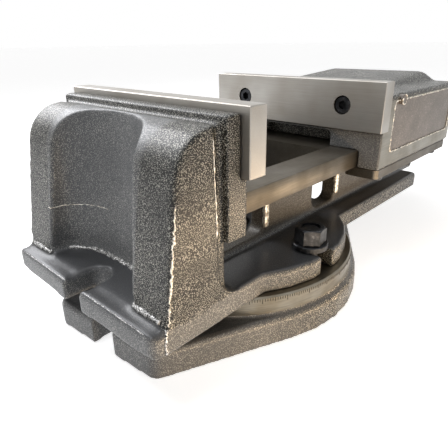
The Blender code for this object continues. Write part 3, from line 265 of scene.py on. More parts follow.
def hammered_enamel():
    """Sand-cast iron in stoving enamel whose aluminium flake dries into silver cells on near black.

    The eye sees a fine salt-and-pepper speckle under a millimetre wide and a semi-gloss that whitens where
    the surface turns away. A painted highlight of brighter flake runs along outward edges, and painted shade
    darkens the corners. Painted light greys the hollow and the foot, painted shade browns the bed's walls
    under the rails, and the flange's level faces carry a dark smooth film: painted shade in its colour, oil
    in its roughness.
    """
    cell_width = 0.54 * MM
    cell_height = 0.1 * MM
    cloud_width = 26 * MM
    edge_radius = 0.8 * MM
    shade_reach = 14 * MM
    edge_highlight_gain = 0.2
    oiled_roughness = 0.26
    dust_grey = linear("999b9e")
    grease_brown = linear("5a544b")
    level_shade_grey = linear("4f5052")
    made, tree, shader, place = surface("hammered_enamel", Coat_Weight=0.1, Coat_Roughness=0.2,
                                        Specular_IOR_Level=0.35)
    cells = node(tree, "ShaderNodeTexNoise", {"Vector": place, "Scale": 1 / cell_width, "Detail": 0.5,
                                              "Roughness": 0.5})
    broad = node(tree, "ShaderNodeTexNoise", {"Vector": place, "Scale": 1 / cloud_width, "Detail": 2.0})
    facing = node(tree, "ShaderNodeNewGeometry").outputs["Normal"]
    rounded = node(tree, "ShaderNodeBevel", {"Radius": edge_radius}, samples=6)
    likeness = node(tree, "ShaderNodeVectorMath", {0: rounded, 1: facing}, operation="DOT_PRODUCT")
    corner = node(tree, "ShaderNodeMapRange", {"Value": likeness.outputs["Value"], "From Min": 0.98,
                                               "From Max": 0.85})
    # Painted highlight: more silver flake on outward, rounded edges
    outward = node(tree, "ShaderNodeAttribute", attribute_name="edge_highlight").outputs["Fac"]
    edge = node(tree, "ShaderNodeMath", {0: corner, 1: outward}, operation="MULTIPLY")
    thin = node(tree, "ShaderNodeMath", {0: edge, 1: edge_highlight_gain}, operation="MULTIPLY")
    height = node(tree, "ShaderNodeMath", {0: cells, 1: thin}, operation="ADD")
    flake = node(tree, "ShaderNodeValToRGB", {"Fac": height},
                 stops=((0.45, "070806"), (0.52, "161714"), (0.57, "5c5b54"), (0.63, "d2cfc4")))
    shade = node(tree, "ShaderNodeValToRGB", {"Fac": broad}, stops=((0.3, "b8b8b8"), (0.7, "f4f4f4")))
    coat = node(tree, "ShaderNodeMix", {0: 1.0, 6: flake, 7: shade}, data_type="RGBA", blend_type="MULTIPLY")
    # Painted shade: the coat darkens where the surface is closed in, in corners and hollows
    shelter = node(tree, "ShaderNodeAmbientOcclusion", {"Distance": shade_reach}, samples=8).outputs["AO"]
    painted_corner_shade = node(tree, "ShaderNodeValToRGB", {"Fac": shelter}, stops=((0.3, "bcbab6"), (0.7, "ffffff")))
    corner_shaded_coat = node(tree, "ShaderNodeMix", {0: 1.0, 6: coat, 7: painted_corner_shade}, data_type="RGBA", blend_type="MULTIPLY")
    # Painted light: a paler grey over the front of the foot and base, the scoop's hollow and the jaw's plate
    # seat
    dust = node(tree, "ShaderNodeAttribute", attribute_name="dust").outputs["Fac"]
    dusty = node(tree, "ShaderNodeMix", {0: dust, 6: corner_shaded_coat, 7: dust_grey}, data_type="RGBA")
    # Painted shade: a dark brown over the bed's walls under the rails
    grease = node(tree, "ShaderNodeAttribute", attribute_name="grease").outputs["Fac"]
    wall_shaded_coat = node(tree, "ShaderNodeMix", {0: grease, 6: dusty, 7: grease_brown}, data_type="RGBA")
    # Painted shade on level faces low on the castings; the film's lower roughness stands for oil
    film = node(tree, "ShaderNodeAttribute", attribute_name="oil").outputs["Fac"]
    upward = node(tree, "ShaderNodeSeparateXYZ", {"Vector": facing}).outputs["Z"]
    level = node(tree, "ShaderNodeMapRange", {"Value": upward, "From Min": 0.5, "From Max": 0.8,
                                              "To Max": 0.85})
    cover = node(tree, "ShaderNodeMath", {0: film, 1: level}, operation="MULTIPLY")
    colour = node(tree, "ShaderNodeMix", {0: cover, 6: wall_shaded_coat, 7: level_shade_grey}, data_type="RGBA")
    metal = node(tree, "ShaderNodeMapRange", {"Value": height, "From Min": 0.48, "From Max": 0.62,
                                              "To Max": 0.12})
    dry = node(tree, "ShaderNodeMapRange", {"Value": cells, "From Min": 0.35, "From Max": 0.65,
                                            "To Min": 0.5, "To Max": 0.36})
    rough = node(tree, "ShaderNodeMix", {0: cover, 2: dry, 3: oiled_roughness})
    relief = node(tree, "ShaderNodeBump", {"Height": cells, "Normal": rounded, "Distance": cell_height,
                                           "Strength": 0.7})
    wire(tree, shader, Base_Color=colour, Metallic=metal, Roughness=rough, Normal=relief)
    return made


def rubbed_enamel():
    """The same enamel rubbed flat on the moving jaw's side panels and plugs.

    The eye sees a smooth warm grey with soft clouds and specks.
    """
    speck_width = 0.9 * MM
    speck_height = 0.04 * MM
    cloud_width = 14 * MM
    made, tree, shader, place = surface("rubbed_enamel", Roughness=0.42, Metallic=0.25, Coat_Weight=0.15)
    specks = node(tree, "ShaderNodeTexNoise", {"Vector": place, "Scale": 1 / speck_width, "Detail": 1.0})
    broad = node(tree, "ShaderNodeTexNoise", {"Vector": place, "Scale": 1 / cloud_width, "Detail": 3.0})
    colour = node(tree, "ShaderNodeValToRGB", {"Fac": specks},
                  stops=((0.35, "6a625b"), (0.6, "7a726a"), (0.75, "b5ada2")))
    shade = node(tree, "ShaderNodeValToRGB", {"Fac": broad}, stops=((0.3, "cfcbc6"), (0.7, "ffffff")))
    both = node(tree, "ShaderNodeMix", {0: 1.0, 6: colour, 7: shade}, data_type="RGBA", blend_type="MULTIPLY")
    relief = node(tree, "ShaderNodeBump", {"Height": specks, "Distance": speck_height, "Strength": 0.4})
    wire(tree, shader, Base_Color=both, Normal=relief)
    return made


def bare_iron():
    """Flash left at the mould's parting line, knocked off after painting: bright ragged iron."""
    grain_width = 1.4 * MM
    grain_height = 0.1 * MM
    made, tree, shader, place = surface("bare_iron", Metallic=0.7, Roughness=0.4)
    grain = node(tree, "ShaderNodeTexNoise", {"Vector": place, "Scale": 1 / grain_width, "Detail": 3.0})
    colour = node(tree, "ShaderNodeValToRGB", {"Fac": grain},
                  stops=((0.35, "9a9184"), (0.5, "ece5d8"), (0.65, "fffaf0")))
    relief = node(tree, "ShaderNodeBump", {"Height": grain, "Distance": grain_height, "Strength": 0.6})
    wire(tree, shader, Base_Color=colour, Normal=relief)
    return made


def painted_highlight_enamel():
    """Pale speckled enamel on fillets and edges: a painted highlight where they catch the light, in
    glittering specks.
    """
    speck_width = 0.6 * MM
    speck_height = 0.1 * MM
    made, tree, shader, place = surface("painted_highlight_enamel", Metallic=0.5, Roughness=0.4)
    specks = node(tree, "ShaderNodeTexNoise", {"Vector": place, "Scale": 1 / speck_width, "Detail": 1.0})
    colour = node(tree, "ShaderNodeValToRGB", {"Fac": specks},
                  stops=((0.4, "3a3b3a"), (0.49, "a2a2a0"), (0.57, "fbf9f6")))
    relief = node(tree, "ShaderNodeBump", {"Height": specks, "Distance": speck_height, "Strength": 0.6})
    wire(tree, shader, Base_Color=colour, Normal=relief)
    return made


def ground_steel():
    """Hardened tool steel, surface ground.

    The eye sees a bright soft grey that runs lighter and darker along the jaw, with hair lines from the
    wheel. The lines are drawn 0.5 mm apart, coarser than a wheel leaves them, since its own can't show.
    """
    line_spacing = 0.5 * MM
    line_height = 0.01 * MM
    cloud_width = 35 * MM
    made, tree, shader, place = surface("ground_steel", Metallic=1.0)
    along = node(tree, "ShaderNodeMapping", {"Vector": place, "Scale": (1, 0.02, 1)})
    lines = node(tree, "ShaderNodeTexNoise", {"Vector": along, "Scale": 1 / line_spacing, "Detail": 3.0,
                                              "Roughness": 0.7})
    cloud = node(tree, "ShaderNodeTexNoise", {"Vector": place, "Scale": 1 / cloud_width, "Detail": 2.0})
    colour = node(tree, "ShaderNodeValToRGB", {"Fac": lines}, stops=((0.3, "a7a49f"), (0.7, "b2afaa")))
    tint = node(tree, "ShaderNodeValToRGB", {"Fac": cloud}, stops=((0.3, "dedad4"), (0.7, "ffffff")))
    both = node(tree, "ShaderNodeMix", {0: 1.0, 6: colour, 7: tint}, data_type="RGBA", blend_type="MULTIPLY")
    rough = node(tree, "ShaderNodeMapRange", {"Value": cloud, "From Min": 0.3, "From Max": 0.7,
                                              "To Min": 0.48, "To Max": 0.4})
    relief = node(tree, "ShaderNodeBump", {"Height": lines, "Distance": line_height, "Strength": 0.4})
    wire(tree, shader, Base_Color=both, Roughness=rough, Normal=relief)
    return made


def machined_iron():
    """Cast iron, milled and scraped.

    Its graphite and a film of oil brown it, so the eye sees a warm dark grey with faint cutter lines and
    clouds. The lines are drawn 0.7 mm apart, coarser than the cutter's own.
    """
    line_spacing = 0.7 * MM
    line_height = 0.02 * MM
    cloud_width = 22 * MM
    made, tree, shader, place = surface("machined_iron", Metallic=0.85)
    along = node(tree, "ShaderNodeMapping", {"Vector": place, "Scale": (0.03, 1, 1)})
    lines = node(tree, "ShaderNodeTexNoise", {"Vector": along, "Scale": 1 / line_spacing, "Detail": 3.0,
                                              "Roughness": 0.7})
    cloud = node(tree, "ShaderNodeTexNoise", {"Vector": place, "Scale": 1 / cloud_width, "Detail": 3.0})
    colour = node(tree, "ShaderNodeValToRGB", {"Fac": lines}, stops=((0.3, "5e5951"), (0.7, "716c63")))
    tint = node(tree, "ShaderNodeValToRGB", {"Fac": cloud}, stops=((0.3, "c8c3ba"), (0.7, "ffffff")))
    both = node(tree, "ShaderNodeMix", {0: 1.0, 6: colour, 7: tint}, data_type="RGBA", blend_type="MULTIPLY")
    rough = node(tree, "ShaderNodeMapRange", {"Value": cloud, "From Min": 0.3, "From Max": 0.7,
                                              "To Min": 0.5, "To Max": 0.4})
    relief = node(tree, "ShaderNodeBump", {"Height": lines, "Distance": line_height, "Strength": 0.4})
    wire(tree, shader, Base_Color=both, Roughness=rough, Normal=relief)
    return made


def fine_cut_iron():
    """Cast iron cut with a fine feed and wiped clean: a pale warm satin face with soft level streaks.

    The streaks are drawn 0.6 mm apart, coarser than the feed.
    """
    streak_spacing = 0.6 * MM
    streak_height = 0.01 * MM
    cloud_width = 18 * MM
    made, tree, shader, place = surface("fine_cut_iron", Metallic=1.0)
    along = node(tree, "ShaderNodeMapping", {"Vector": place, "Scale": (0.05, 0.05, 1)})
    feed = node(tree, "ShaderNodeTexNoise", {"Vector": along, "Scale": 1 / streak_spacing, "Detail": 2.0})
    cloud = node(tree, "ShaderNodeTexNoise", {"Vector": place, "Scale": 1 / cloud_width, "Detail": 2.0})
    colour = node(tree, "ShaderNodeValToRGB", {"Fac": feed}, stops=((0.3, "7f7b71"), (0.7, "938e82")))
    tint = node(tree, "ShaderNodeValToRGB", {"Fac": cloud}, stops=((0.3, "d8d2c8"), (0.7, "ffffff")))
    both = node(tree, "ShaderNodeMix", {0: 1.0, 6: colour, 7: tint}, data_type="RGBA", blend_type="MULTIPLY")
    rough = node(tree, "ShaderNodeMapRange", {"Value": cloud, "From Min": 0.3, "From Max": 0.7,
                                              "To Min": 0.36, "To Max": 0.28})
    relief = node(tree, "ShaderNodeBump", {"Height": feed, "Distance": streak_height, "Strength": 0.4})
    wire(tree, shader, Base_Color=both, Roughness=rough, Normal=relief)
    return made


def black_oxide():
    """Alloy steel fasteners, blackened and oiled: near black with a satin sheen, rubbed greyer in patches."""
    patch_width = 3 * MM
    patch_height = 0.05 * MM
    made, tree, shader, place = surface("black_oxide", Metallic=0.8, Roughness=0.36)
    rubbed = node(tree, "ShaderNodeTexNoise", {"Vector": place, "Scale": 1 / patch_width, "Detail": 4.0,
                                               "Roughness": 0.6})
    colour = node(tree, "ShaderNodeValToRGB", {"Fac": rubbed},
                  stops=((0.35, "26282a"), (0.6, "3b3c3f"), (0.75, "67686b")))
    relief = node(tree, "ShaderNodeBump", {"Height": rubbed, "Distance": patch_height, "Strength": 0.4})
    wire(tree, shader, Base_Color=colour, Normal=relief)
    return made


def turned_steel():
    """Bright carbon steel off the lathe: clear grey with fine rings round its axis, dulled a little by oil.

    The rings are drawn 0.4 mm apart, coarser than the tool's own.
    """
    ring_spacing = 0.4 * MM
    ring_height = 0.02 * MM
    made, tree, shader, place = surface("turned_steel", Metallic=1.0, Roughness=0.3)
    along = node(tree, "ShaderNodeMapping", {"Vector": place, "Scale": (1, 0.05, 0.05)})
    rings = node(tree, "ShaderNodeTexNoise", {"Vector": along, "Scale": 1 / ring_spacing, "Detail": 2.0})
    colour = node(tree, "ShaderNodeValToRGB", {"Fac": rings}, stops=((0.3, "8d8c89"), (0.7, "b5b4b0")))
    relief = node(tree, "ShaderNodeBump", {"Height": rings, "Distance": ring_height, "Strength": 0.5})
    wire(tree, shader, Base_Color=colour, Normal=relief)
    return made


def cage_bronze():
    """Machined bronze, slightly dulled: warm yellow brown in soft clouds."""
    cloud_width = 4 * MM
    made, tree, shader, place = surface("cage_bronze", Metallic=1.0, Roughness=0.35)
    dull = node(tree, "ShaderNodeTexNoise", {"Vector": place, "Scale": 1 / cloud_width, "Detail": 3.0})
    colour = node(tree, "ShaderNodeValToRGB", {"Fac": dull}, stops=((0.3, "86632f"), (0.7, "a98447")))
    wire(tree, shader, Base_Color=colour)
    return made


def moulded_phenolic():
    """Black phenolic moulding: soft sheen, faint flow clouds and fine scuffs."""
    scuff_width = 2.5 * MM
    scuff_height = 0.03 * MM
    made, tree, shader, place = surface("moulded_phenolic", Coat_Weight=0.2)
    scuffs = node(tree, "ShaderNodeTexNoise", {"Vector": place, "Scale": 1 / scuff_width, "Detail": 5.0,
                                               "Roughness": 0.65})
    colour = node(tree, "ShaderNodeValToRGB", {"Fac": scuffs}, stops=((0.4, "0d0d0e"), (0.7, "1f1f20")))
    rough = node(tree, "ShaderNodeMapRange", {"Value": scuffs, "From Min": 0.4, "From Max": 0.7,
                                              "To Min": 0.32, "To Max": 0.48})
    relief = node(tree, "ShaderNodeBump", {"Height": scuffs, "Distance": scuff_height, "Strength": 0.4})
    wire(tree, shader, Base_Color=colour, Roughness=rough, Normal=relief)
    return made


def engraving_black():
    """Graduation lines filled with black paint, chipped a little."""
    chip_width = 0.8 * MM
    made, tree, shader, place = surface("engraving_black", Roughness=0.6)
    chips = node(tree, "ShaderNodeTexNoise", {"Vector": place, "Scale": 1 / chip_width, "Detail": 2.0})
    colour = node(tree, "ShaderNodeValToRGB", {"Fac": chips}, stops=((0.45, "17150f"), (0.7, "4c4438")))
    wire(tree, shader, Base_Color=colour)
    return made


FINISHES = {
    "cast_enamel": hammered_enamel(),
    "ground_steel": ground_steel(),
    "machined_iron": machined_iron(),
    "black_oxide": black_oxide(),
    "bright_steel": turned_steel(),
    "ball_cage_bronze": cage_bronze(),
    "grip_plastic": moulded_phenolic(),
}
ENAMEL = FINISHES["cast_enamel"]
MACHINED = FINISHES["machined_iron"]
BRIGHT = FINISHES["bright_steel"]
BARE = bare_iron()
PAINTED_HIGHLIGHT = painted_highlight_enamel()
RUBBED = rubbed_enamel()
FINE_CUT = fine_cut_iron()
ENGRAVED = engraving_black()


def dress_frame():
    """Give every carried-over node its finish."""
    for entry in frame["record"]["subparts"]:
        mesh = frame["nodes"][entry["node"]].data
        mesh.materials.clear()
        mesh.materials.append(FINISHES[entry["material_slot"]])
    for name in ("side_plug_near", "side_plug_far"):
        frame["nodes"][name].data.materials[0] = RUBBED


def collect(name, mesh, finish, body, slot, *replaced, angle=crease):
    """Make a piece from a mesh, smooth but for edges sharper than the angle, that rides on a body."""
    mesh.name = name
    mesh.shade_smooth()
    if angle:
        mesh.set_sharp_from_angle(angle=math.radians(angle))
    mesh.materials.clear()
    mesh.materials.append(finish)
    made = bpy.data.objects.new(name, mesh)
    bpy.context.scene.collection.objects.link(made)
    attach(made, body)
    if replaced:
        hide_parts(*replaced)
    return made


def as_mesh(shape, name="shape"):
    """Turn a bmesh into a mesh and free it."""
    mesh = bpy.data.meshes.new(name)
    shape.to_mesh(mesh)
    shape.free()
    return mesh


def band(shape, low, high):
    """Faces between two closed rings of as many vertices."""
    for place in range(len(low)):
        beside = (place + 1) % len(low)
        shape.faces.new((low[place], low[beside], high[beside], high[place]))


def tube(shape, rows):
    """Faces along rows of vertices and over both ends, as a mesh."""
    for low, high in zip(rows, rows[1:]):
        band(shape, low, high)
    shape.faces.new(rows[0][::-1])
    shape.faces.new(rows[-1])
    bmesh.ops.recalc_face_normals(shape, faces=shape.faces)
    return as_mesh(shape)


def evaluated(mesh, kind, **settings):
    """The mesh after one modifier with its settings."""
    thing = bpy.data.objects.new("work", mesh)
    bpy.context.scene.collection.objects.link(thing)
    step = thing.modifiers.new(kind.lower(), kind)
    for name, value in settings.items():
        setattr(step, name, value)
    graph = bpy.context.evaluated_depsgraph_get()
    made = bpy.data.meshes.new_from_object(thing.evaluated_get(graph))
    bpy.data.objects.remove(thing, do_unlink=True)
    return made


def neighbour_mean(places, first, last):
    """Each vertex's mean of its neighbours' places."""
    count = len(places)
    degree = np.bincount(first, minlength=count) + np.bincount(last, minlength=count)
    sums = [np.bincount(first, places[last, axis], count) + np.bincount(last, places[first, axis], count)
            for axis in range(3)]
    return np.stack(sums, 1) / degree[:, None]


def cast_skin(node_name, crisp, coved=None, **films):
    """The node's shape with its edges worn round, as sand moulding leaves them.

    Where the rule crisp holds, the skin is rounded less, and where the rule coved holds, much more. An
    attribute of painted highlight is high on outward edges, and each film, painted light or painted shade,
    gets an attribute of its own that follows its rule.
    """
    shape = bmesh.new()
    shape.from_mesh(frame["nodes"][node_name].data)
    bmesh.ops.remove_doubles(shape, verts=shape.verts, dist=weld_distance)
    skin = evaluated(as_mesh(shape), "REMESH", mode="VOXEL", voxel_size=cast_voxel)
    places = np.empty(len(skin.vertices) * 3)
    skin.vertices.foreach_get("co", places)
    places = places.reshape(-1, 3)
    ends = np.empty(len(skin.edges) * 2, int)
    skin.edges.foreach_get("vertices", ends)
    first, last = ends.reshape(-1, 2).T
    free = np.full(len(places), smoothing_step)
    free[crisp(*places.T)] *= crisp_share
    for _ in range(cast_passes):
        places += free[:, None] * (neighbour_mean(places, first, last) - places)
    if coved:
        free = smoothing_step * coved(*places.T)
        for _ in range(cove_passes):
            places += free[:, None] * (neighbour_mean(places, first, last) - places)
    skin.vertices.foreach_set("co", places.ravel())
    skin.update()
    normals = np.empty(len(places) * 3)
    skin.vertex_normals.foreach_get("vector", normals)
    # Painted highlight: height above a broadly smoothed copy marks the outward edges
    broad = places.copy()
    for _ in range(edge_highlight_passes):
        broad += smoothing_step * (neighbour_mean(broad, first, last) - broad)
    height = ((places - broad) * normals.reshape(-1, 3)).sum(1)
    edge_highlight = skin.attributes.new("edge_highlight", "FLOAT", "POINT")
    edge_highlight.data.foreach_set("value", np.clip(height / full_edge_highlight, 0, 1))
    for name, rule in films.items():
        film = skin.attributes.new(name, "FLOAT", "POINT")
        film.data.foreach_set("value", np.clip(rule(*places.T), 0, 1))
    skin = evaluated(skin, "DECIMATE", ratio=kept_share)
    skin.shade_smooth()
    return evaluated(skin, "WEIGHTED_NORMAL", mode="FACE_AREA", weight=flat_face_weight)


def front_dust(x, y, z):
    """Painted light that thickens toward the front of the foot and of the base."""
    return foot_dust * np.clip(-x / foot_dust_fade, 0, 1)


def bed_casting():
    """Bed, foot and fixed jaw as one casting, with coves round the foot of the column and of the scoop."""
    def crisp(x, y, z):
        return ((z > rail_bottom - edge_room) & (x > pad_back - edge_room)) | (z < flange_top + edge_room)

    def coved(x, y, z):
        low = (z > flange_top - 2 * edge_room) & (z < flange_top + cove_rise)
        return low & (x > cove_front) & (x < column_rear)

    # Painted shade on the foot's and flange's level faces, with the lower roughness of oil
    def oil(x, y, z):
        return z < flange_top + 3 * edge_room

    # Painted light in the scoop's hollow and on the front of the foot
    def dust(x, y, z):
        depth = x - (scoop_foot + scoop_lean * (z - flange_top) / scoop_height)
        hollow = (np.abs(y) < scoop_half) & (x < column_rear)
        return np.where(z < flange_top, front_dust(x, y, z),
                        scoop_dust * hollow * np.clip(depth / cove_rise, 0, 1))

    # Painted shade on the bed's walls under the rails
    def grease(x, y, z):
        walls = (z > window_sill - 2 * edge_room) & (z < rail_bottom) & (np.abs(y) < wall_out)
        return wall_grease * (walls & (x > column_rear))

    mesh = cast_skin("vise_body", crisp, coved, oil=oil, dust=dust, grease=grease)
    return collect("bed_casting", mesh, ENAMEL, "vise", "cast_enamel", "vise_body", angle=0)


def jaw_casting():
    """Moving jaw, crisper round the plate's seat and the ways, and lightened by painted light at the seat."""
    seat_end = jaw_box[0].x + 4 * edge_room
    mesh = cast_skin("moving_jaw", crisp=lambda x, y, z: (x < seat_end) | (z < rail_top + edge_room),
                     dust=lambda x, y, z: plate_seat_dust * (x < seat_end))
    return collect("jaw_casting", mesh, ENAMEL, "jaw", "cast_enamel", "moving_jaw", angle=0)


def base_casting():
    """Swivel base as cast, under its machined ring, with a dark smooth film on its top: painted shade in
    colour, oil in roughness.
    """
    mesh = cast_skin("swivel_base", crisp=lambda x, y, z: z > 0, dust=front_dust,
                     oil=lambda x, y, z: base_oil_and_shade * (z > base_thickness - edge_room))
    return collect("base_casting", mesh, ENAMEL, "base", "cast_enamel", "swivel_base", angle=0)


def rails():
    """Ground ways on top of the bed, drawn crisp over the casting, with broken edges."""
    for name, way in (("near", -1), ("far", 1)):
        sides = sorted((way * (rail_inner - proud), way * (rail_outer + proud)))
        low = Vector((ledge_face - proud, sides[0], rail_bottom - proud))
        high = Vector((bed_end + proud, sides[1], rail_top + proud))
        shape = bmesh.new()
        bmesh.ops.create_cube(shape, size=1)
        bmesh.ops.scale(shape, vec=high - low, verts=shape.verts)
        bmesh.ops.translate(shape, vec=(low + high) / 2, verts=shape.verts)
        bmesh.ops.bevel(shape, geom=shape.edges[:], offset=rail_chamfer, segments=2, profile=0.5,
                        affect="EDGES")
        collect(f"rail_{name}", as_mesh(shape), MACHINED, "vise", "machined_iron")


def rounded_outline(left, right, low, high, radius, steps=5):
    """Points round a rectangle with rounded corners."""
    corners = ((right - radius, high - radius, 0), (left + radius, high - radius, 1),
               (left + radius, low + radius, 2), (right - radius, low + radius, 3))
    return [(x + radius * math.cos((quarter + step / steps) * math.pi / 2),
             z + radius * math.sin((quarter + step / steps) * math.pi / 2))
            for x, z, quarter in corners for step in range(steps + 1)]


def side_frames():
    """Machined faces on the moving jaw's sides, round panels of rubbed enamel."""
    outer = rounded_outline(jaw_box[0].x + edge_room, jaw_box[1].x - edge_room, skirt_bottom + edge_room,
                            panel_top + edge_room, edge_room)
    inner = rounded_outline(panel_front, panel_rear, panel_bottom, panel_top, panel_radius)
    for name, way in (("near", -1), ("far", 1)):
        shape = bmesh.new()
        rows = [[shape.verts.new((x, way * depth, z)) for x, z in outline]
                for outline, depth in ((outer, jaw_side + proud), (inner, jaw_side + proud),
                                       (inner, jaw_side - edge_room), (outer, jaw_side - edge_room))]
        for low, high in zip(rows, rows[1:] + rows[:1]):
            band(shape, low, high)
        bmesh.ops.recalc_face_normals(shape, faces=shape.faces)
        collect(f"side_frame_{name}", as_mesh(shape), FINE_CUT, "jaw", "machined_iron")
        shape = bmesh.new()
        rows = [[shape.verts.new((x, way * depth, z)) for x, z in inner]
                for depth in (jaw_side - 0.5 * edge_room, jaw_side - 2 * edge_room)]
        collect(f"side_panel_{name}", tube(shape, rows), RUBBED, "jaw", "cast_enamel")


def graduated_ring():
    """Machined ring of the swivel base, with its chamfer, closed as a thin band."""
    top = body_seat - fit_gap + proud
    radius = ring_radius + proud
    inside = radius - 2 * ring_chamfer
    under = top - 4 * ring_chamfer
    profile = [(neck_out, top), (radius - ring_chamfer, top), (radius, top - ring_chamfer),
               (radius, ring_foot), (inside, ring_foot), (inside, under), (neck_out, under), (neck_out, top)]
    shape = bmesh.new()
    points = [shape.verts.new((out, 0, height)) for out, height in profile]
    edges = [shape.edges.new(pair) for pair in zip(points, points[1:])]
    bmesh.ops.spin(shape, geom=points + edges, cent=(0, 0, 0), axis=(0, 0, 1), angle=math.tau,
                   steps=ring_sides)
    bmesh.ops.remove_doubles(shape, verts=shape.verts, dist=weld_distance)
    bmesh.ops.recalc_face_normals(shape, faces=shape.faces)
    collect("graduated_ring", as_mesh(shape), FINE_CUT, "base", "machined_iron", angle=ring_crease)


def scale_lines():
    """Degree lines cut down from the ring's top edge, longer at every fifth and tenth."""
    shape = bmesh.new()
    top = body_seat - fit_gap - ring_chamfer
    for degree in range(360):
        length = tenth_line if degree % 10 == 0 else fifth_line if degree % 5 == 0 else degree_line
        made = bmesh.ops.create_cube(shape, size=1)["verts"]
        bmesh.ops.scale(shape, vec=(line_depth, line_width, length), verts=made)
        bmesh.ops.translate(shape, vec=(ring_radius + proud, 0, top - length / 2), verts=made)
        bmesh.ops.rotate(shape, cent=(0, 0, 0), verts=made,
                         matrix=Matrix.Rotation(swivel_turn + math.radians(degree), 3, "Z"))
    collect("scale_lines", as_mesh(shape), ENGRAVED, "base", "machined_iron", angle=0)


def screw_thread():
    """Left-hand trapezoidal thread of the lead screw, over its whole threaded length."""
    start = screw_front + screw_tip
    end = jaw_box[1].x + thread_past_jaw
    steps = round((end - start) / (thread_lead / rows_per_lead))
    shape = bmesh.new()
    rows = []
    for step in range(steps + 1):
        along = start + (end - start) * step / steps
        row = []
        for side in range(thread_sides):
            turn = math.tau * side / thread_sides
            phase = (along / thread_lead + side / thread_sides) % 1
            flank = min(max((abs(phase - 0.5) - root_half_share) / flank_share, 0), 1)
            radius = thread_radius + proud - (1 - flank) * thread_depth
            level = screw_level + radius * math.sin(turn)
            row.append(shape.verts.new((along, radius * math.cos(turn), level)))
        rows.append(row)
    collect("screw_thread", tube(shape, rows), BRIGHT, "screw", "bright_steel", angle=thread_crease)


def surface_line(tree, starts, way):
    """Where rays from the given starts meet a mesh, with the normals there."""
    found = []
    for start in starts:
        place, normal, _, _ = tree.ray_cast(Vector(start), Vector(way).normalized())
        if place:
            found.append((place, normal))
    return found


def ragged_rib(name, line, height, seed, unevenness=0.5, body="vise", finish=BARE):
    """An uneven rib along a line on a casting, as the joint of a mould or a thick fillet leaves it."""
    chance = np.random.default_rng(seed)
    swell = np.clip(chance.normal(mean_swell, unevenness, len(line)), least_swell, most_swell)
    swell = np.convolve(swell, swell_blur, "same")
    shape = bmesh.new()
    rows = []
    for count, ((place, normal), size) in enumerate(zip(line, swell)):
        half = height * size
        along = line[min(count + 1, len(line) - 1)][0] - line[max(count - 1, 0)][0]
        side = normal.cross(along).normalized()
        wander = side * height * chance.normal(0, wander_share * unevenness)
        row = []
        for step in range(rib_sides):
            turn = math.tau * step / rib_sides
            offset = side * half * math.cos(turn) + normal * half * rib_flatness * math.sin(turn)
            row.append(shape.verts.new(place + wander + offset))
        rows.append(row)
    collect(name, tube(shape, rows), finish, body, "cast_enamel", angle=0)


def surface_tree(piece):
    """A search tree of a piece's faces."""
    shape = bmesh.new()
    shape.from_mesh(piece.data)
    tree = BVHTree.FromBMesh(shape)
    shape.free()
    return tree


def spaced(start, spacing, count):
    """Evenly spaced values."""
    return [start + spacing * step for step in range(count)]


def upright_flash(tree):
    """Bare flash up the near column's front and rear edges, and a rib of painted highlight up the foot's
    corner.
    """
    corner = [(corner_ray_front + (z - corner_low) * front_lean,
               corner_ray_side + (z - body_seat) * side_lean, z)
              for z in spaced(corner_low, flash_step, count=66)]
    ragged_rib("front_flash", surface_line(tree, corner, (1, 1, 0)), height=0.62 * MM, seed=3,
               unevenness=0.65)
    corner = [(foot_ray_front, corner_ray_side, z) for z in spaced(foot_corner_low, flash_step, count=15)]
    ragged_rib("foot_flash", surface_line(tree, corner, (1, 1, 0)), height=0.9 * MM, seed=19, finish=PAINTED_HIGHLIGHT)
    edge = [(column_rear - rear_flash_inset, side_ray_start, z)
            for z in spaced(rear_flash_low, flash_step, count=56)]
    ragged_rib("rear_flash", surface_line(tree, edge, (0, 1, 0)), height=0.7 * MM, seed=5)


def level_beads(tree):
    """The core's joint across the scoop, and ribs of painted highlight on the foot's edges and the fillets
    above it.
    """
    across = [(joint_ray_start, y, joint_level) for y in spaced(joint_start, joint_step, count=54)]
    ragged_rib("core_joint", surface_line(tree, across, (1, 0, 0)), height=0.34 * MM, seed=7,
               unevenness=0.9)
    for name, start in (("near", -foot_edge_outer), ("far", foot_edge_inner)):
        edge = [(foot_front - edge_ray, y, flange_top + edge_ray)
                for y in spaced(start, edge_step, count=72)]
        ragged_rib(f"foot_edge_{name}", surface_line(tree, edge, (1, 0, -1)), height=0.25 * MM, seed=13,
                   unevenness=0.7, finish=PAINTED_HIGHLIGHT)
    # Painted highlight along the fillets at the foot of the scoop and of the columns
    hollow = []
    for degrees in range(-bead_half_turn, bead_half_turn + 1, bead_turn_step):
        turn = math.radians(degrees)
        way = (math.cos(turn), math.sin(turn), 0)
        hollow += surface_line(tree, [(scoop_middle, 0, bead_level)], way)
    ragged_rib("scoop_bead", hollow, height=1.9 * MM, seed=15, unevenness=0.2, finish=PAINTED_HIGHLIGHT)
    for name, start in (("near", -column_bead_outer), ("far", column_bead_inner)):
        foot = [(foot_front - bead_ray, y, bead_level) for y in spaced(start, edge_step, count=30)]
        ragged_rib(f"column_bead_{name}", surface_line(tree, foot, (1, 0, 0)), height=1.9 * MM, seed=17,
                   unevenness=0.3, finish=PAINTED_HIGHLIGHT)


def highlighted_jambs(tree):
    """Rounded jambs at the rear ends of the near wall's front and middle windows, in bright bare iron: a
    painted highlight where their rounded edges catch the light.
    """
    for name, end in (("front_jamb", front_window_end), ("middle_jamb", middle_window_end)):
        edge = [(end + jamb_inset, side_ray_start, z)
                for z in spaced(window_sill + jamb_rise, flash_step, count=23)]
        ragged_rib(name, surface_line(tree, edge, (0, 1, 0)), height=3.2 * MM, seed=9, unevenness=0.06)


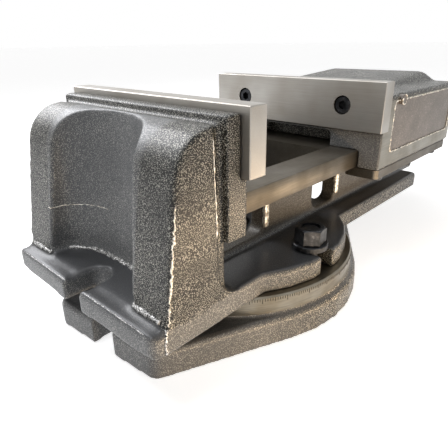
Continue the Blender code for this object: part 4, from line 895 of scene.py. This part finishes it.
def panel_lines():
    """Thin bright rims round the side panels and the plugs."""
    corners = rounded_outline(panel_front, panel_rear, panel_bottom, panel_top, panel_radius)
    loop = []
    for (x, z), (next_x, next_z) in zip(corners, corners[1:] + corners[:1]):
        parts = max(1, round(math.hypot(next_x - x, next_z - z) / edge_step))
        loop += [(x + (next_x - x) * part / parts, z + (next_z - z) * part / parts) for part in range(parts)]
    loop.append(loop[0])
    ring = []
    for degrees in spaced(plug_arc_start, plug_arc_step, plug_arc_points):
        turn = math.radians(degrees)
        ring.append((plug_place[0] + plug_radius * math.cos(turn),
                     plug_place[1] + plug_radius * math.sin(turn)))
    for name, way in (("near", -1), ("far", 1)):
        for part, path, depth, height in (("panel_rim", loop, jaw_side, panel_rim_height),
                                          ("plug_rim", ring, plug_out, plug_rim_height)):
            line = [(Vector((x, way * depth, z)), Vector((0, way, 0))) for x, z in path]
            ragged_rib(f"{part}_{name}", line, height, seed=11, unevenness=0.7, body="jaw")


def area_light(name, place, aim, size, power, code):
    """A soft lamp at a place, turned to a point."""
    lamp = bpy.data.lights.new(name, "AREA")
    lamp.shape = "RECTANGLE"
    lamp.size, lamp.size_y = size
    lamp.energy = power
    lamp.color = linear(code)[:3]
    made = bpy.data.objects.new(name, lamp)
    bpy.context.scene.collection.objects.link(made)
    made.location = place
    made.rotation_euler = (Vector(aim) - Vector(place)).to_track_quat("-Z", "Y").to_euler()
    made.visible_camera = False


def seen_direct(tree):
    """One for rays that see the backdrop itself, straight, mirrored or through glass."""
    path = node(tree, "ShaderNodeLightPath")
    first = node(tree, "ShaderNodeMath", {0: path.outputs["Is Camera Ray"], 1: path.outputs["Is Glossy Ray"]},
                 operation="MAXIMUM")
    return node(tree, "ShaderNodeMath", {0: first, 1: path.outputs["Is Transmission Ray"]},
                operation="MAXIMUM")


def studio():
    """White surroundings, a pale floor that keeps the shadow, and soft lamps."""
    world = bpy.data.worlds.new("studio")
    bpy.context.scene.world = world
    world.use_nodes = True
    tree = world.node_tree
    back = tree.nodes["Background"]
    back.inputs["Color"].default_value = linear("ffffff")
    strength = node(tree, "ShaderNodeMapRange", {"Value": seen_direct(tree), "To Min": world_light,
                                                 "To Max": 1.0})
    tree.links.new(strength.outputs["Result"], back.inputs["Strength"])

    made, tree, shader, _ = surface("pale_floor", Roughness=0.9, Specular_IOR_Level=0.1,
                                    Base_Color=linear("f2f2f2"), Emission_Color=linear("ffffff"))
    glow = node(tree, "ShaderNodeMath", {0: seen_direct(tree), 1: floor_glow}, operation="MULTIPLY")
    wire(tree, shader, Emission_Strength=glow)
    shape = bmesh.new()
    bmesh.ops.create_grid(shape, x_segments=1, y_segments=1, size=floor_half)
    mesh = as_mesh(shape, "studio_floor")
    mesh.materials.append(made)
    floor = bpy.data.objects.new("studio_floor", mesh)
    bpy.context.scene.collection.objects.link(floor)
    floor.location.z = -floor_drop

    for lamp in lamps:
        area_light(*lamp)


def photograph_camera():
    """The camera where the photographer held theirs."""
    camera = bpy.data.objects.new("camera", bpy.data.cameras.new("camera"))
    bpy.context.scene.collection.objects.link(camera)
    camera.data.sensor_width = sensor_width
    camera.data.lens = camera_lens
    camera.data.clip_start = nearest_seen
    camera.location = camera_place
    level = Matrix.Rotation(-camera_azimuth, 4, "Z") @ Matrix.Rotation(math.pi / 2 - camera_elevation, 4, "X")
    turned = level @ Matrix.Rotation(-camera_roll, 4, "Z")
    camera.rotation_euler = turned.to_euler()
    bpy.context.scene.camera = camera


dress_frame()
bed_tree = surface_tree(bed_casting())
upright_flash(bed_tree)
level_beads(bed_tree)
highlighted_jambs(bed_tree)
jaw_casting()
side_frames()
panel_lines()
base_casting()
rails()
graduated_ring()
scale_lines()
screw_thread()
studio()
photograph_camera()
bpy.context.scene.view_settings.view_transform = "Standard"
